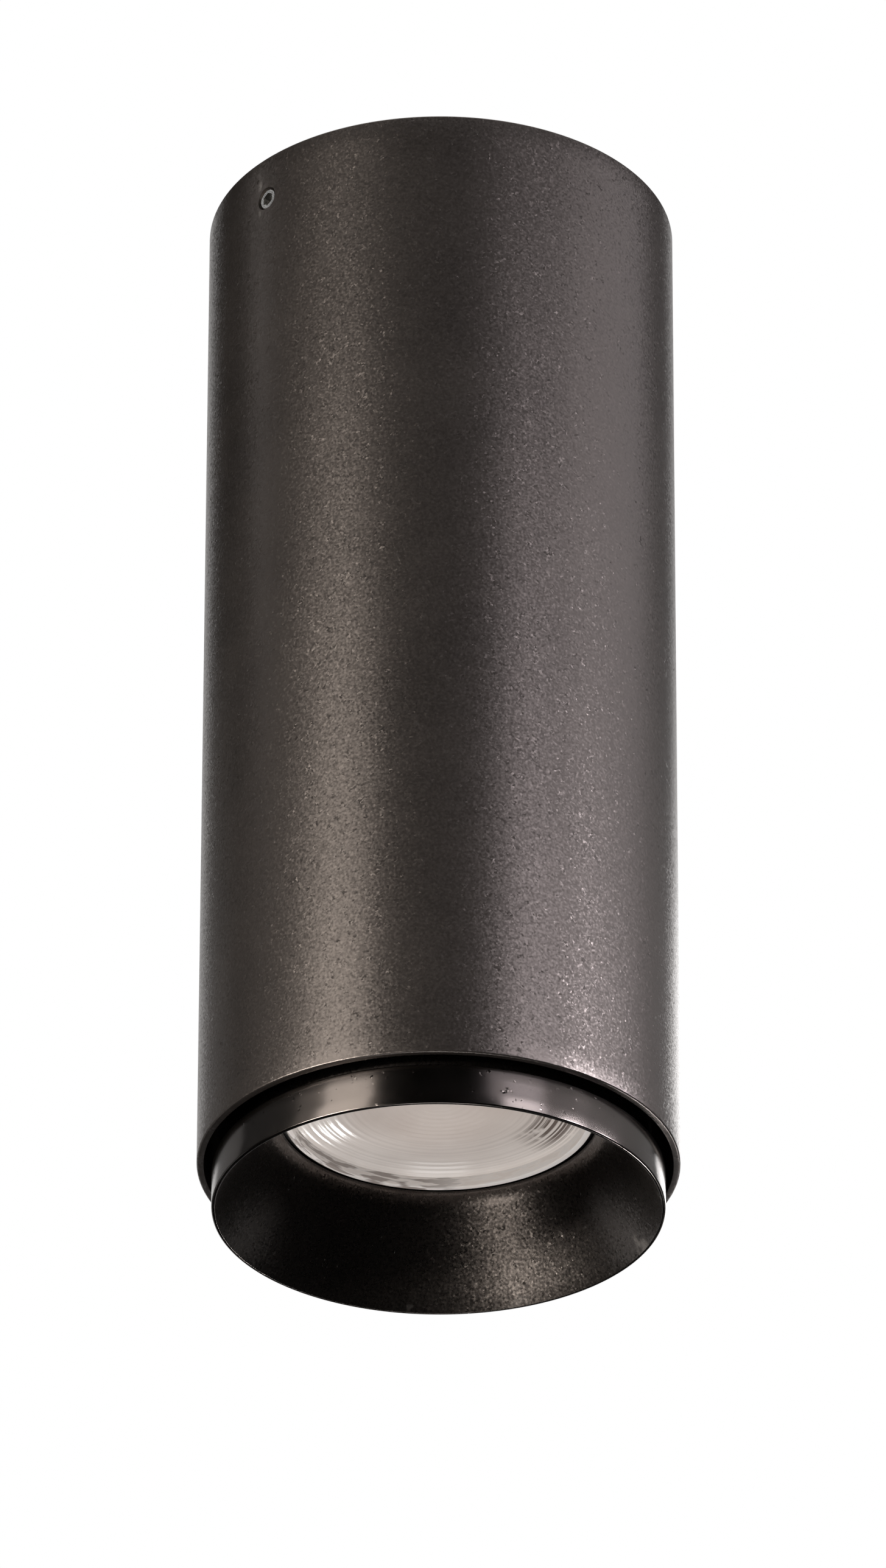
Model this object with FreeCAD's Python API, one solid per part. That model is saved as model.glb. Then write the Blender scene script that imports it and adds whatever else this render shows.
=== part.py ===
import FreeCAD, Part

import math
import os

# A surface mounted ceiling spotlight: a tube that hangs straight down from a ceiling cup.
# Millimetres. The origin is the centre of the cup's ceiling face and +Z points up into the ceiling,
# so every "depth" below is a distance down from the ceiling. The front of the lamp faces -Y.

# ---------------------------------------------------------------- driving dimensions

# Housing tube
tube_diameter = 75.0
tube_length = 170.0
tube_wall = 2.0
ceiling_gap = 0.5
rim_chamfer = 0.3
mouth_wall = 1.1

# Screw ports along the inside of the tube
port_count = 3
port_radius = 3.2
port_inset = 2.6
port_first_angle = 90.0
port_start_below_cup = 4.0

# Ceiling cup
cup_plate = 2.5
cup_depth = 14.0
cup_shoulder_depth = 3.5
cup_fit_gap = 0.3
cup_rim_step = 2.2
cup_rim_wall = 2.0
slot_spacing = 44.0
slot_radius = 2.3
slot_travel = 8.0

# Cable grommet
grommet_hole_radius = 7.0
grommet_flange = 2.0
grommet_flange_thickness = 0.8
grommet_recess = 1.0
grommet_recess_gap = 0.3
grommet_fit_gap = 0.05
cable_radius = 4.5

# Set screws that clamp the tube on the cup
set_screw_radius = 1.95
set_screw_fit_gap = 0.05
set_screw_below_rim = 7.7
set_screw_recess = 0.3
set_screw_tip_gap = 0.3
set_screw_front_angle = 221.8
set_screw_chamfer = 0.3
set_screw_socket = 2.0
set_screw_socket_depth = 1.8

# Glare ring
ring_drop = 7.6
ring_gap = 1.25
ring_shadow_gap = 0.9
ring_chamfer = 0.3
ring_lip = 0.6
ring_neck_step = 2.15
ring_seat_gap = 0.3
ring_land = 1.0
ring_bore_gap = 0.6
magnet_count = 3
magnet_radius = 2.5
magnet_thickness = 2.0
magnet_fit_gap = 0.05
magnet_first_angle = 90.0

# Lens
lens_setback = 8.8
lens_radius = 24.3
lens_boss = 1.6
lens_flange = 1.5
lens_flange_thickness = 1.2
lens_height = 14.0
lens_top_radius = 8.0
lens_waist_radius = 16.5
lens_waist_share = 0.43
lens_base_step = 1.8
lens_well_radius = 6.2
lens_well_depth = 6.0
lens_groove_count = 14
lens_groove_depth = 0.25
lens_centre_radius = 3.0

# Keeper ring and lens holder
keeper_thickness = 1.0
keeper_bore_gap = 0.3
holder_wall = 2.0
holder_lens_gap = 1.1
holder_flange_thickness = 3.0
holder_pocket_gap = 0.15
holder_boss_radius = 3.3
optic_screw_count = 3
optic_screw_gap = 0.2
optic_screw_first_angle = 30.0

# Light source
pad_thickness = 0.5
substrate_side = 19.0
substrate_thickness = 1.2
phosphor_radius = 5.5
phosphor_thickness = 0.6
lens_light_gap = 0.4
led_holder_radius = 19.0
led_holder_cover = 1.3
led_holder_window = 9.2
led_holder_recess_gap = 0.15
led_holder_screw_place = 15.5

# Heat sink and the plate under it
sink_plate_thickness = 5.0
sink_fit_gap = 0.1
sink_fin_count = 16
sink_fin_thickness = 1.4
sink_core_radius = 8.5
sink_fin_root = 1.0
core_screw_place = 5.2
core_screw_length = 14.0
sink_port_gap = 0.7
sink_screw_bite = 8.0

# Driver bracket
sheet = 1.2
bracket_half_width = 18.0
bracket_foot_half_width = 9.0
bracket_foot_front = -7.0
bracket_screw_place = 4.5
shelf_half_width = 24.0
shelf_front = -6.0

# Terminal block
block_half_width = 15.0
block_front = -3.0
block_back = 10.0
block_height = 12.0
block_below_cup = 3.0
pole_pitch = 10.0
pole_count = 3
tunnel_width = 5.0
tunnel_height = 6.0
tunnel_end_wall = 1.5
tunnel_gap = 0.1
tunnel_hole_radius = 1.4
tunnel_above_shelf = 2.0
clamp_screw_radius = 1.2
clamp_screw_head_radius = 1.7
clamp_screw_spread = 2.8
clamp_screw_gap = 0.05
clamp_screw_head_height = 1.5
clamp_screw_head_lift = 0.3
clamp_screw_slot = 0.6
clamp_screw_slot_depth = 0.8

# Driver
driver_half_width = 24.0
driver_front = -15.0
driver_back = 10.0
driver_length = 56.0
driver_below_shelf = 4.0
driver_above_sink = 11.0
driver_wall = 1.2
driver_lid_gap = 0.15
driver_lid_lip = 1.5
driver_boss_radius = 3.0
driver_boss_height = 5.0
driver_screw_place = 13.5
board_front = -10.9
board_thickness = 1.6
board_gap = 0.4
transformer_size = (18.0, 15.0, 17.0)
transformer_core_side = 3.0
transformer_winding_inset = 1.0
transformer_below_top = 10.0
capacitor_radius = 4.0
capacitor_length = 13.0
capacitor_above_bottom = 9.0
capacitor_place = 8.0
coil_outer_radius = 5.5
coil_inner_radius = 2.5
coil_thickness = 6.0
coil_above_bottom = 22.0

# Leads
mains_lead_radius = 0.9
led_lead_radius = 0.65
lead_hole_gap = 0.25
lead_board_gap = 0.1
lead_inside_driver = 6.0
lead_inside_tunnel = 3.5
lead_inside_lug = 3.0
led_lead_circle = 14.0
led_lead_end = -8.6
earth_place = (20.0, 3.0)
earth_lead_front = -9.0
lug_radius = 3.6
lug_thickness = 0.8
lug_barrel_radius = 1.5
lug_barrel_start = -1.0
lug_barrel_length = 4.0
lug_barrel_lift = 0.1

# Machine screws M3, and the clearance of a hole round one
m3_radius = 1.5
m3_thread_gap = 0.05
m3_hole_gap = 0.2
m3_head_radius = 2.6
m3_head_height = 2.0
m3_socket = 2.0
m3_socket_depth = 1.1
m3_flush_head_height = 1.3
m3_tapped_depth = 9.0
m3_point_gap = 1.0

# ---------------------------------------------------------------- places worked out from them

tube_radius = tube_diameter / 2
bore_radius = tube_radius - tube_wall
mouth_radius = tube_radius - mouth_wall
tube_top = ceiling_gap
tube_bottom = tube_top + tube_length
port_circle = bore_radius - port_inset
port_top = cup_depth + port_start_below_cup

cup_shoulder_radius = bore_radius - cup_fit_gap
cup_rim_radius = cup_shoulder_radius - cup_rim_step
cup_inner_radius = cup_rim_radius - cup_rim_wall
grommet_radius = grommet_hole_radius + grommet_flange

set_screw_depth = tube_top + set_screw_below_rim
set_screw_tip = cup_rim_radius + set_screw_tip_gap
set_screw_end = tube_radius - set_screw_recess
set_screw_hole_radius = set_screw_radius + set_screw_fit_gap

ring_bottom = tube_bottom + ring_drop
ring_band_top = tube_bottom + ring_shadow_gap
ring_radius = mouth_radius - ring_gap
ring_neck_radius = ring_radius - ring_neck_step
ring_lip_radius = ring_radius - ring_chamfer - ring_lip
ring_bore_radius = lens_radius + ring_bore_gap

lens_face = tube_bottom - lens_setback
keeper_top = lens_face - lens_boss
keeper_bottom = keeper_top + keeper_thickness
ring_top = keeper_bottom + ring_seat_gap
lens_flange_top = keeper_top - lens_flange_thickness
lens_flange_radius = lens_radius + lens_flange
lens_base_radius = lens_radius - lens_base_step
lens_top = lens_flange_top - lens_height
magnet_circle = (ring_bore_radius + ring_neck_radius) / 2

holder_inner_radius = lens_base_radius + holder_lens_gap
holder_outer_radius = holder_inner_radius + holder_wall
holder_flange_top = keeper_top - holder_flange_thickness
optic_screw_circle = lens_flange_radius + optic_screw_gap + m3_head_radius

phosphor_bottom = lens_top - lens_light_gap
substrate_bottom = phosphor_bottom - phosphor_thickness
substrate_top = substrate_bottom - substrate_thickness
sink_face = substrate_top - pad_thickness
sink_shoulder = sink_face - sink_plate_thickness
sink_radius = mouth_radius - sink_fit_gap
fin_radius = port_circle - port_radius - sink_port_gap
led_holder_bottom = substrate_bottom + led_holder_cover

block_top = cup_depth + block_below_cup
shelf_top = block_top + block_height
shelf_bottom = shelf_top + sheet
block_middle = (block_front + block_back) / 2
pole_depth = shelf_top - tunnel_above_shelf - tunnel_height / 2
driver_top = shelf_bottom + driver_below_shelf
driver_bottom = driver_top + driver_length
driver_middle = (driver_top + driver_bottom) / 2
sink_top = driver_bottom + driver_above_sink
board_back = board_front + board_thickness
mains_lead_y = board_front - lead_board_gap - mains_lead_radius
half_fin_turn = 180.0 / sink_fin_count
lug_barrel_depth = shelf_top - lug_barrel_lift - lug_barrel_radius
lug_barrel_end = lug_barrel_start - lug_barrel_length


# ---------------------------------------------------------------- shapes used again and again

def point(x, y, depth):
    return FreeCAD.Vector(x, y, -depth)


def upright(radius, top, bottom, x=0.0, y=0.0):
    """A round bar standing between two depths."""
    return Part.makeCylinder(radius, bottom - top, point(x, y, bottom))


def bar(radius, start, end):
    """A round bar between two points."""
    run = end - start
    return Part.makeCylinder(radius, run.Length, start, run)


def block(x_low, x_high, y_low, y_high, top, bottom):
    return Part.makeBox(x_high - x_low, y_high - y_low, bottom - top, point(x_low, y_low, bottom))


def face_of(corners):
    """A flat face in the XZ half plane from (radius, depth) corners."""
    places = [point(radius, 0.0, depth) for radius, depth in corners]
    return Part.Face(Part.makePolygon(places + places[:1]))


def turned(corners):
    """A solid of revolution about the lamp's axis from (radius, depth) corners."""
    return face_of(corners).revolve(FreeCAD.Vector(), FreeCAD.Vector(0, 0, 1), 360)


def around(count, circle, first_angle):
    """Evenly spaced (x, y) places on a circle."""
    angles = [math.radians(first_angle + 360.0 * index / count) for index in range(count)]
    return [(circle * math.cos(angle), circle * math.sin(angle)) for angle in angles]


def joined(solids):
    return solids[0].multiFuse(solids[1:]).removeSplitter()


def hexagon_hole(mouth, direction, across_flats, deep):
    """The hollow of a hexagon socket that goes in from its mouth along a direction."""
    corner = across_flats / 2 / math.cos(math.radians(30))
    places = []
    for index in range(7):
        angle = math.radians(60 * index)
        places.append(FreeCAD.Vector(corner * math.cos(angle), corner * math.sin(angle), 0))
    prism = Part.Face(Part.makePolygon(places)).extrude(FreeCAD.Vector(0, 0, deep))
    prism.Placement = FreeCAD.Placement(mouth, FreeCAD.Rotation(FreeCAD.Vector(0, 0, 1), direction))
    return prism


def socket_screw(seat, direction, length):
    """An M3 cheese-head screw: the head stands on its seat, the shank runs along the direction."""
    head_top = seat - direction * m3_head_height
    shank = Part.makeCylinder(m3_radius, length, seat, direction)
    head = Part.makeCylinder(m3_head_radius, m3_head_height, head_top, direction)
    socket = hexagon_hole(head_top, direction, m3_socket, m3_socket_depth)
    return joined([head, shank]).cut(socket)


def flush_screw(face, direction, length):
    """An M3 countersunk screw whose head lies flush with a face."""
    shank = Part.makeCylinder(m3_radius, length, face, direction)
    head = Part.makeCone(m3_head_radius, m3_radius, m3_flush_head_height, face, direction)
    socket = hexagon_hole(face, direction, m3_socket, m3_socket_depth)
    return joined([head, shank]).cut(socket)


def flush_screw_hole(face, direction, length):
    """The hollow for a countersunk M3 screw, opened all over by the hole gap."""
    shank = Part.makeCylinder(m3_radius + m3_hole_gap, length, face, direction)
    cone_height = m3_flush_head_height + m3_hole_gap
    head = Part.makeCone(m3_head_radius + m3_hole_gap, m3_radius + m3_hole_gap, cone_height, face, direction)
    return shank.fuse(head)


def lead(name, radius, route):
    """A lead along a route of points: straight runs joined by tangent arcs."""
    edges = []
    start = route[0]
    radii = []
    for before, corner, after in zip(route, route[1:], route[2:]):
        way_in = (corner - before).normalize()
        way_out = (after - corner).normalize()
        turn = way_in.getAngle(way_out)
        shorter_run = min((corner - before).Length, (after - corner).Length)
        trim = 0.45 * shorter_run
        bend = trim / math.tan(turn / 2)
        arc_start = corner - way_in * trim
        arc_end = corner + way_out * trim
        to_centre = (way_out - way_in).normalize()
        reach = bend / math.cos(turn / 2) - bend
        arc_middle = corner + to_centre * reach
        edges.append(Part.LineSegment(start, arc_start).toShape())
        edges.append(Part.Arc(arc_start, arc_middle, arc_end).toShape())
        start = arc_end
        radii.append(round(bend, 2))
    edges.append(Part.LineSegment(start, route[-1]).toShape())
    path = Part.Wire(edges)
    section = Part.Wire(Part.makeCircle(radius, route[0], route[1] - route[0]))
    solid = path.makePipeShell([section], True, False)
    share = solid.Volume / (math.pi * radius ** 2 * path.Length)
    print(name, "bend radii", radii, "volume over section times length", round(share, 4))
    return solid


def write(name, shape):
    solids = shape.Solids
    if not shape.isValid() or not solids:
        raise ValueError(name + " is not a valid solid")
    shape.exportStep("parts/" + name + ".step")
    print(name, len(solids), "solid(s)", round(shape.Volume, 1), "mm3")


UP = FreeCAD.Vector(0, 0, 1)
DOWN = FreeCAD.Vector(0, 0, -1)
FORWARD = FreeCAD.Vector(0, -1, 0)


# ---------------------------------------------------------------- ceiling base

def make_ceiling_cup():
    cup = turned([
        (0.0, 0.0),
        (cup_shoulder_radius, 0.0),
        (cup_shoulder_radius, cup_shoulder_depth),
        (cup_rim_radius, cup_shoulder_depth),
        (cup_rim_radius, cup_depth),
        (cup_inner_radius, cup_depth),
        (cup_inner_radius, cup_plate),
        (0.0, cup_plate),
    ])
    cup = cup.cut(upright(grommet_hole_radius, 0.0, cup_plate))
    cup = cup.cut(upright(grommet_radius + grommet_recess_gap, 0.0, grommet_recess))
    for side in (-1, 1):
        middle = side * slot_spacing / 2
        inner_end = middle - slot_travel / 2
        outer_end = middle + slot_travel / 2
        slot = joined([
            upright(slot_radius, 0.0, cup_plate, inner_end),
            upright(slot_radius, 0.0, cup_plate, outer_end),
            block(inner_end, outer_end, -slot_radius, slot_radius, 0.0, cup_plate),
        ])
        cup = cup.cut(slot)
    return cup


def make_cable_grommet():
    neck_radius = grommet_hole_radius - grommet_fit_gap
    flange_top = grommet_recess - grommet_flange_thickness
    flange_bottom = cup_plate + grommet_flange_thickness
    return turned([
        (cable_radius, flange_top),
        (grommet_radius, flange_top),
        (grommet_radius, grommet_recess),
        (neck_radius, grommet_recess),
        (neck_radius, cup_plate),
        (grommet_radius, cup_plate),
        (grommet_radius, flange_bottom),
        (cable_radius, flange_bottom),
    ])


# ---------------------------------------------------------------- set screws

def set_screw_way(angle):
    """The outward direction of a set screw at an angle round the tube."""
    turn = math.radians(angle)
    return FreeCAD.Vector(math.cos(turn), math.sin(turn), 0)


def set_screw_holes():
    tools = []
    for angle in (set_screw_front_angle, set_screw_front_angle + 180):
        outward = set_screw_way(angle)
        start = outward * (bore_radius - tube_wall) + point(0, 0, set_screw_depth)
        tools.append(Part.makeCylinder(set_screw_hole_radius, 3 * tube_wall, start, outward))
    return tools


def make_set_screw(angle):
    outward = set_screw_way(angle)
    tip = outward * set_screw_tip + point(0, 0, set_screw_depth)
    length = set_screw_end - set_screw_tip
    small = set_screw_radius - set_screw_chamfer
    tip_cone = Part.makeCone(small, set_screw_radius, set_screw_chamfer, tip, outward)
    body = Part.makeCylinder(
        set_screw_radius, length - 2 * set_screw_chamfer, tip + outward * set_screw_chamfer, outward)
    end = tip + outward * length
    end_cone = Part.makeCone(
        set_screw_radius, small, set_screw_chamfer, end - outward * set_screw_chamfer, outward)
    socket = hexagon_hole(end, outward * -1, set_screw_socket, set_screw_socket_depth)
    return joined([tip_cone, body, end_cone]).cut(socket)


# ---------------------------------------------------------------- housing tube

def make_housing_tube():
    shell = turned([
        (bore_radius, tube_top),
        (tube_radius - rim_chamfer, tube_top),
        (tube_radius, tube_top + rim_chamfer),
        (tube_radius, tube_bottom - rim_chamfer),
        (tube_radius - rim_chamfer, tube_bottom),
        (mouth_radius, tube_bottom),
        (mouth_radius, sink_shoulder),
        (bore_radius, sink_shoulder),
    ])
    places = around(port_count, port_circle, port_first_angle)
    ports = [upright(port_radius, port_top, sink_shoulder, x, y) for x, y in places]
    tube = joined([shell] + ports)
    for x, y in places:
        tube = tube.cut(upright(m3_radius + m3_thread_gap, port_top, sink_shoulder, x, y))
    return tube.cut(set_screw_holes())


# ---------------------------------------------------------------- heat sink

def led_lead_places():
    """The gaps between fins that the two LED leads run down, left and right of the front."""
    angles = (270.0 - 3 * half_fin_turn, 270.0 + 3 * half_fin_turn)
    places = []
    for angle in angles:
        turn = math.radians(angle)
        places.append((led_lead_circle * math.cos(turn), led_lead_circle * math.sin(turn)))
    return places


def make_heat_sink():
    """Fins round a core, standing on the sink plate."""
    core = upright(sink_core_radius, sink_top, sink_shoulder)
    half = sink_fin_thickness / 2
    fins = []
    for index in range(sink_fin_count):
        fin = block(sink_core_radius - sink_fin_root, fin_radius, -half, half, sink_top, sink_shoulder)
        fin.rotate(FreeCAD.Vector(), UP, index * 360.0 / sink_fin_count)
        fins.append(fin)
    sink = joined([core] + fins)
    tapped = m3_radius + m3_thread_gap
    core_hole_top = sink_face - core_screw_length - m3_point_gap
    hollows = []
    for side in (-1, 1):
        x = side * bracket_screw_place
        hollows.append(upright(tapped, sink_top, sink_top + m3_tapped_depth, x))
        hollows.append(upright(tapped, core_hole_top, sink_shoulder, 0.0, side * core_screw_place))
    return sink.cut(hollows)


def make_sink_plate():
    """The disc that carries the fins above and the light source below, seated in the tube's mouth."""
    plate = upright(sink_radius, sink_shoulder, sink_face)
    tapped = m3_radius + m3_thread_gap
    hollows = []
    for x, y in around(port_count, port_circle, port_first_angle):
        hollows.append(upright(m3_radius + m3_hole_gap, sink_shoulder, sink_face, x, y))
    for x, y in around(optic_screw_count, optic_screw_circle, optic_screw_first_angle):
        hollows.append(upright(tapped, sink_shoulder, sink_face, x, y))
    for x, y in led_lead_places():
        hollows.append(upright(led_lead_radius + lead_hole_gap, sink_shoulder, sink_face, x, y))
    for side in (-1, 1):
        hollows.append(upright(tapped, sink_shoulder, sink_face, side * led_holder_screw_place))
        face = point(0.0, side * core_screw_place, sink_face)
        hollows.append(flush_screw_hole(face, UP, sink_plate_thickness))
    return plate.cut(hollows)


def make_core_screws():
    """Two countersunk screws that hold the fins' core on the plate."""
    sides = (-1, 1)
    return Part.makeCompound([
        flush_screw(point(0.0, side * core_screw_place, sink_face), UP, core_screw_length)
        for side in sides])


def make_sink_screws():
    length = sink_plate_thickness + sink_screw_bite
    places = around(port_count, port_circle, port_first_angle)
    return Part.makeCompound([socket_screw(point(x, y, sink_face), UP, length) for x, y in places])


# ---------------------------------------------------------------- driver bracket

def make_driver_bracket():
    plate_front = driver_back
    plate_back = driver_back + sheet
    foot_top = sink_top - sheet
    plate = block(-bracket_half_width, bracket_half_width, plate_front, plate_back, shelf_top, sink_top)
    foot = block(-bracket_foot_half_width, bracket_foot_half_width,
                 bracket_foot_front, plate_back, foot_top, sink_top)
    shelf = block(-shelf_half_width, shelf_half_width, shelf_front, plate_back, shelf_top, shelf_bottom)
    bracket = joined([plate, foot, shelf])
    tapped = m3_radius + m3_thread_gap
    hollows = []
    for side in (-1, 1):
        x = side * bracket_screw_place
        hollows.append(upright(m3_radius + m3_hole_gap, foot_top, sink_top, x, 0.0))
        hollows.append(upright(tapped, shelf_top, shelf_bottom, side * pole_pitch / 2, block_middle))
        hole_start = point(side * driver_screw_place, plate_front, driver_middle)
        hole_end = point(side * driver_screw_place, plate_back, driver_middle)
        hollows.append(bar(m3_radius + m3_hole_gap, hole_start, hole_end))
    hollows.append(upright(tapped, shelf_top, shelf_bottom, *earth_place))
    return bracket.cut(hollows)


def make_bracket_screws():
    seat_depth = sink_top - sheet
    length = sheet + m3_tapped_depth - m3_point_gap
    sides = (-1, 1)
    return Part.makeCompound([
        socket_screw(point(side * bracket_screw_place, 0.0, seat_depth), DOWN, length) for side in sides])


# ---------------------------------------------------------------- terminal block

def pole_places():
    """The x of each pole, left to right."""
    return [(index - (pole_count - 1) / 2) * pole_pitch for index in range(pole_count)]


def make_terminal_block():
    body = block(-block_half_width, block_half_width, block_front, block_back, block_top, shelf_top)
    half = tunnel_width / 2 + tunnel_gap
    floor = shelf_top - tunnel_above_shelf + tunnel_gap
    ceiling = floor - tunnel_height - 2 * tunnel_gap
    front = block_front + tunnel_end_wall - tunnel_gap
    back = block_back - tunnel_end_wall + tunnel_gap
    hollows = []
    for x in pole_places():
        hollows.append(block(x - half, x + half, front, back, ceiling, floor))
        hollows.append(bar(tunnel_hole_radius, point(x, block_front, pole_depth),
                           point(x, block_back, pole_depth)))
        for side in (-1, 1):
            y = block_middle + side * clamp_screw_spread
            hollows.append(upright(clamp_screw_head_radius + m3_hole_gap, block_top, ceiling, x, y))
    for side in (-1, 1):
        face = point(side * pole_pitch / 2, block_middle, block_top)
        hollows.append(flush_screw_hole(face, DOWN, block_height))
    return body.cut(hollows)


def make_terminal_tunnels():
    tunnels = []
    floor = shelf_top - tunnel_above_shelf
    ceiling = floor - tunnel_height
    half = tunnel_width / 2
    front = block_front + tunnel_end_wall
    back = block_back - tunnel_end_wall
    for x in pole_places():
        tunnel = block(x - half, x + half, front, back, ceiling, floor)
        hollows = [bar(tunnel_hole_radius, point(x, front, pole_depth), point(x, back, pole_depth))]
        for side in (-1, 1):
            y = block_middle + side * clamp_screw_spread
            hollows.append(upright(clamp_screw_radius + clamp_screw_gap, ceiling, pole_depth, x, y))
        tunnels.append(tunnel.cut(hollows))
    return Part.makeCompound(tunnels)


def make_terminal_screws():
    """Two clamp screws on each pole, their ends just over the leads' height."""
    screws = []
    ceiling = shelf_top - tunnel_above_shelf - tunnel_height
    tip = pole_depth - mains_lead_radius - clamp_screw_gap
    head_bottom = ceiling - clamp_screw_head_lift
    head_top = head_bottom - clamp_screw_head_height
    reach = clamp_screw_head_radius
    half = clamp_screw_slot / 2
    for x in pole_places():
        for side in (-1, 1):
            y = block_middle + side * clamp_screw_spread
            head = upright(clamp_screw_head_radius, head_top, head_bottom, x, y)
            shank = upright(clamp_screw_radius, head_bottom, tip, x, y)
            slot = block(x - reach, x + reach, y - half, y + half,
                         head_top, head_top + clamp_screw_slot_depth)
            screws.append(joined([head, shank]).cut(slot))
    return Part.makeCompound(screws)


def make_block_screws():
    length = block_height + sheet + m3_point_gap
    sides = (-1, 1)
    return Part.makeCompound([
        flush_screw(point(side * pole_pitch / 2, block_middle, block_top), DOWN, length) for side in sides])


# ---------------------------------------------------------------- earth point

def make_earth_screw():
    x, y = earth_place
    seat = point(x, y, shelf_top - lug_thickness)
    return socket_screw(seat, DOWN, lug_thickness + sheet + m3_point_gap)


def make_earth_lug():
    x, y = earth_place
    lug_top = shelf_top - lug_thickness
    eye = upright(lug_radius, lug_top, shelf_top, x, y)
    half = lug_barrel_radius
    tongue = block(x - half, x + half, lug_barrel_end, y, lug_top, shelf_top)
    barrel_front = point(x, lug_barrel_end, lug_barrel_depth)
    barrel_back = point(x, lug_barrel_start, lug_barrel_depth)
    barrel = bar(lug_barrel_radius, barrel_front, barrel_back)
    lug = joined([eye, tongue, barrel])
    lug = lug.cut(upright(m3_radius + m3_hole_gap, lug_top, shelf_top, x, y))
    return lug.cut(bar(mains_lead_radius + m3_thread_gap, barrel_front, barrel_back))


# ---------------------------------------------------------------- driver

def driver_lead_holes():
    """The holes for the two mains leads above and the two LED leads below."""
    hollows = []
    for x in pole_places()[:2]:
        hollows.append(upright(mains_lead_radius + lead_hole_gap, driver_top,
                               driver_top + driver_wall, x, mains_lead_y))
    for x, y in led_lead_places():
        hollows.append(upright(led_lead_radius + lead_hole_gap, driver_bottom - driver_wall,
                               driver_bottom, x, y))
    return hollows


def make_driver_case():
    """A box open at the front, with two screw bosses on its back wall."""
    inner = driver_half_width - driver_wall
    outside = block(-driver_half_width, driver_half_width, driver_front + driver_wall, driver_back,
                    driver_top, driver_bottom)
    inside = block(-inner, inner, driver_front + driver_wall, driver_back - driver_wall,
                   driver_top + driver_wall, driver_bottom - driver_wall)
    case = outside.cut(inside)
    boss_front = driver_back - driver_wall - driver_boss_height
    bosses = []
    holes = []
    for side in (-1, 1):
        x = side * driver_screw_place
        boss_end = point(x, driver_back - driver_wall / 2, driver_middle)
        bosses.append(bar(driver_boss_radius, point(x, boss_front, driver_middle), boss_end))
        hole_end = point(x, driver_back, driver_middle)
        holes.append(bar(m3_radius + m3_thread_gap, point(x, boss_front, driver_middle), hole_end))
    return joined([case] + bosses).cut(holes + driver_lead_holes())


def make_driver_lid():
    """The front plate, with a lip that drops inside the case."""
    lid_back = driver_front + driver_wall
    plate = block(-driver_half_width, driver_half_width, driver_front, lid_back,
                  driver_top, driver_bottom)
    lip_outer = driver_half_width - driver_wall - driver_lid_gap
    lip_inner = lip_outer - driver_wall
    lip_top = driver_top + driver_wall + driver_lid_gap
    lip_bottom = driver_bottom - driver_wall - driver_lid_gap
    lips = []
    for side in (-1, 1):
        x_low, x_high = sorted((side * lip_inner, side * lip_outer))
        lips.append(block(x_low, x_high, lid_back, lid_back + driver_lid_lip, lip_top, lip_bottom))
    return joined([plate] + lips)


def make_driver_screws():
    screws = []
    length = sheet + driver_wall + driver_boss_height - m3_point_gap
    for side in (-1, 1):
        seat = point(side * driver_screw_place, driver_back + sheet, driver_middle)
        screws.append(socket_screw(seat, FORWARD, length))
    return Part.makeCompound(screws)


def make_driver_board():
    half = driver_half_width - 2 * driver_wall - driver_lid_gap - board_gap
    return block(-half, half, board_front, board_back,
                 driver_top + driver_wall + board_gap, driver_bottom - driver_wall - board_gap)


def make_driver_transformer():
    """An E-core transformer: a wound block between two core plates."""
    width, deep, high = transformer_size
    top = driver_top + transformer_below_top
    bottom = top + high
    plate = transformer_core_side
    half = width / 2
    inset = transformer_winding_inset
    winding = block(-half + inset, half - inset, board_back, board_back + deep - inset,
                    top + plate, bottom - plate)
    upper = block(-half, half, board_back, board_back + deep, top, top + plate)
    lower = block(-half, half, board_back, board_back + deep, bottom - plate, bottom)
    return joined([winding, upper, lower])


def make_driver_capacitors():
    """Two round capacitors that stand on the board."""
    capacitors = []
    depth = driver_bottom - capacitor_above_bottom
    for side in (-1, 1):
        x = side * capacitor_place
        start = point(x, board_back, depth)
        capacitors.append(bar(capacitor_radius, start, start - FORWARD * capacitor_length))
    return Part.makeCompound(capacitors)


def make_driver_coil():
    depth = driver_bottom - coil_above_bottom
    start = point(0.0, board_back, depth)
    end = start - FORWARD * coil_thickness
    return bar(coil_outer_radius, start, end).cut(bar(coil_inner_radius, start, end))


# ---------------------------------------------------------------- leads

def make_mains_lead(name, x):
    """From a pole's tunnel forward, down past the shelf and into the driver."""
    return lead(name, mains_lead_radius, [
        point(x, block_front + lead_inside_tunnel, pole_depth),
        point(x, mains_lead_y, pole_depth),
        point(x, mains_lead_y, driver_top + lead_inside_driver),
    ])


def make_earth_lead():
    """From the right-hand pole round to the lug on the shelf."""
    pole_x = pole_places()[2]
    lug_x = earth_place[0]
    return lead("earth_lead", mains_lead_radius, [
        point(pole_x, block_front + lead_inside_tunnel, pole_depth),
        point(pole_x, earth_lead_front, pole_depth),
        point(lug_x, earth_lead_front, lug_barrel_depth),
        point(lug_x, lug_barrel_end + lead_inside_lug, lug_barrel_depth),
    ])


def make_led_lead(name, x, y):
    """Straight down from the driver between two fins, then in over the light source's edge."""
    end_depth = substrate_bottom + led_lead_radius
    return lead(name, led_lead_radius, [
        point(x, y, driver_bottom - lead_inside_driver),
        point(x, y, end_depth),
        point(x, led_lead_end, end_depth),
    ])


# ---------------------------------------------------------------- light source

def square(side, top, bottom):
    return block(-side / 2, side / 2, -side / 2, side / 2, top, bottom)


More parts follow.
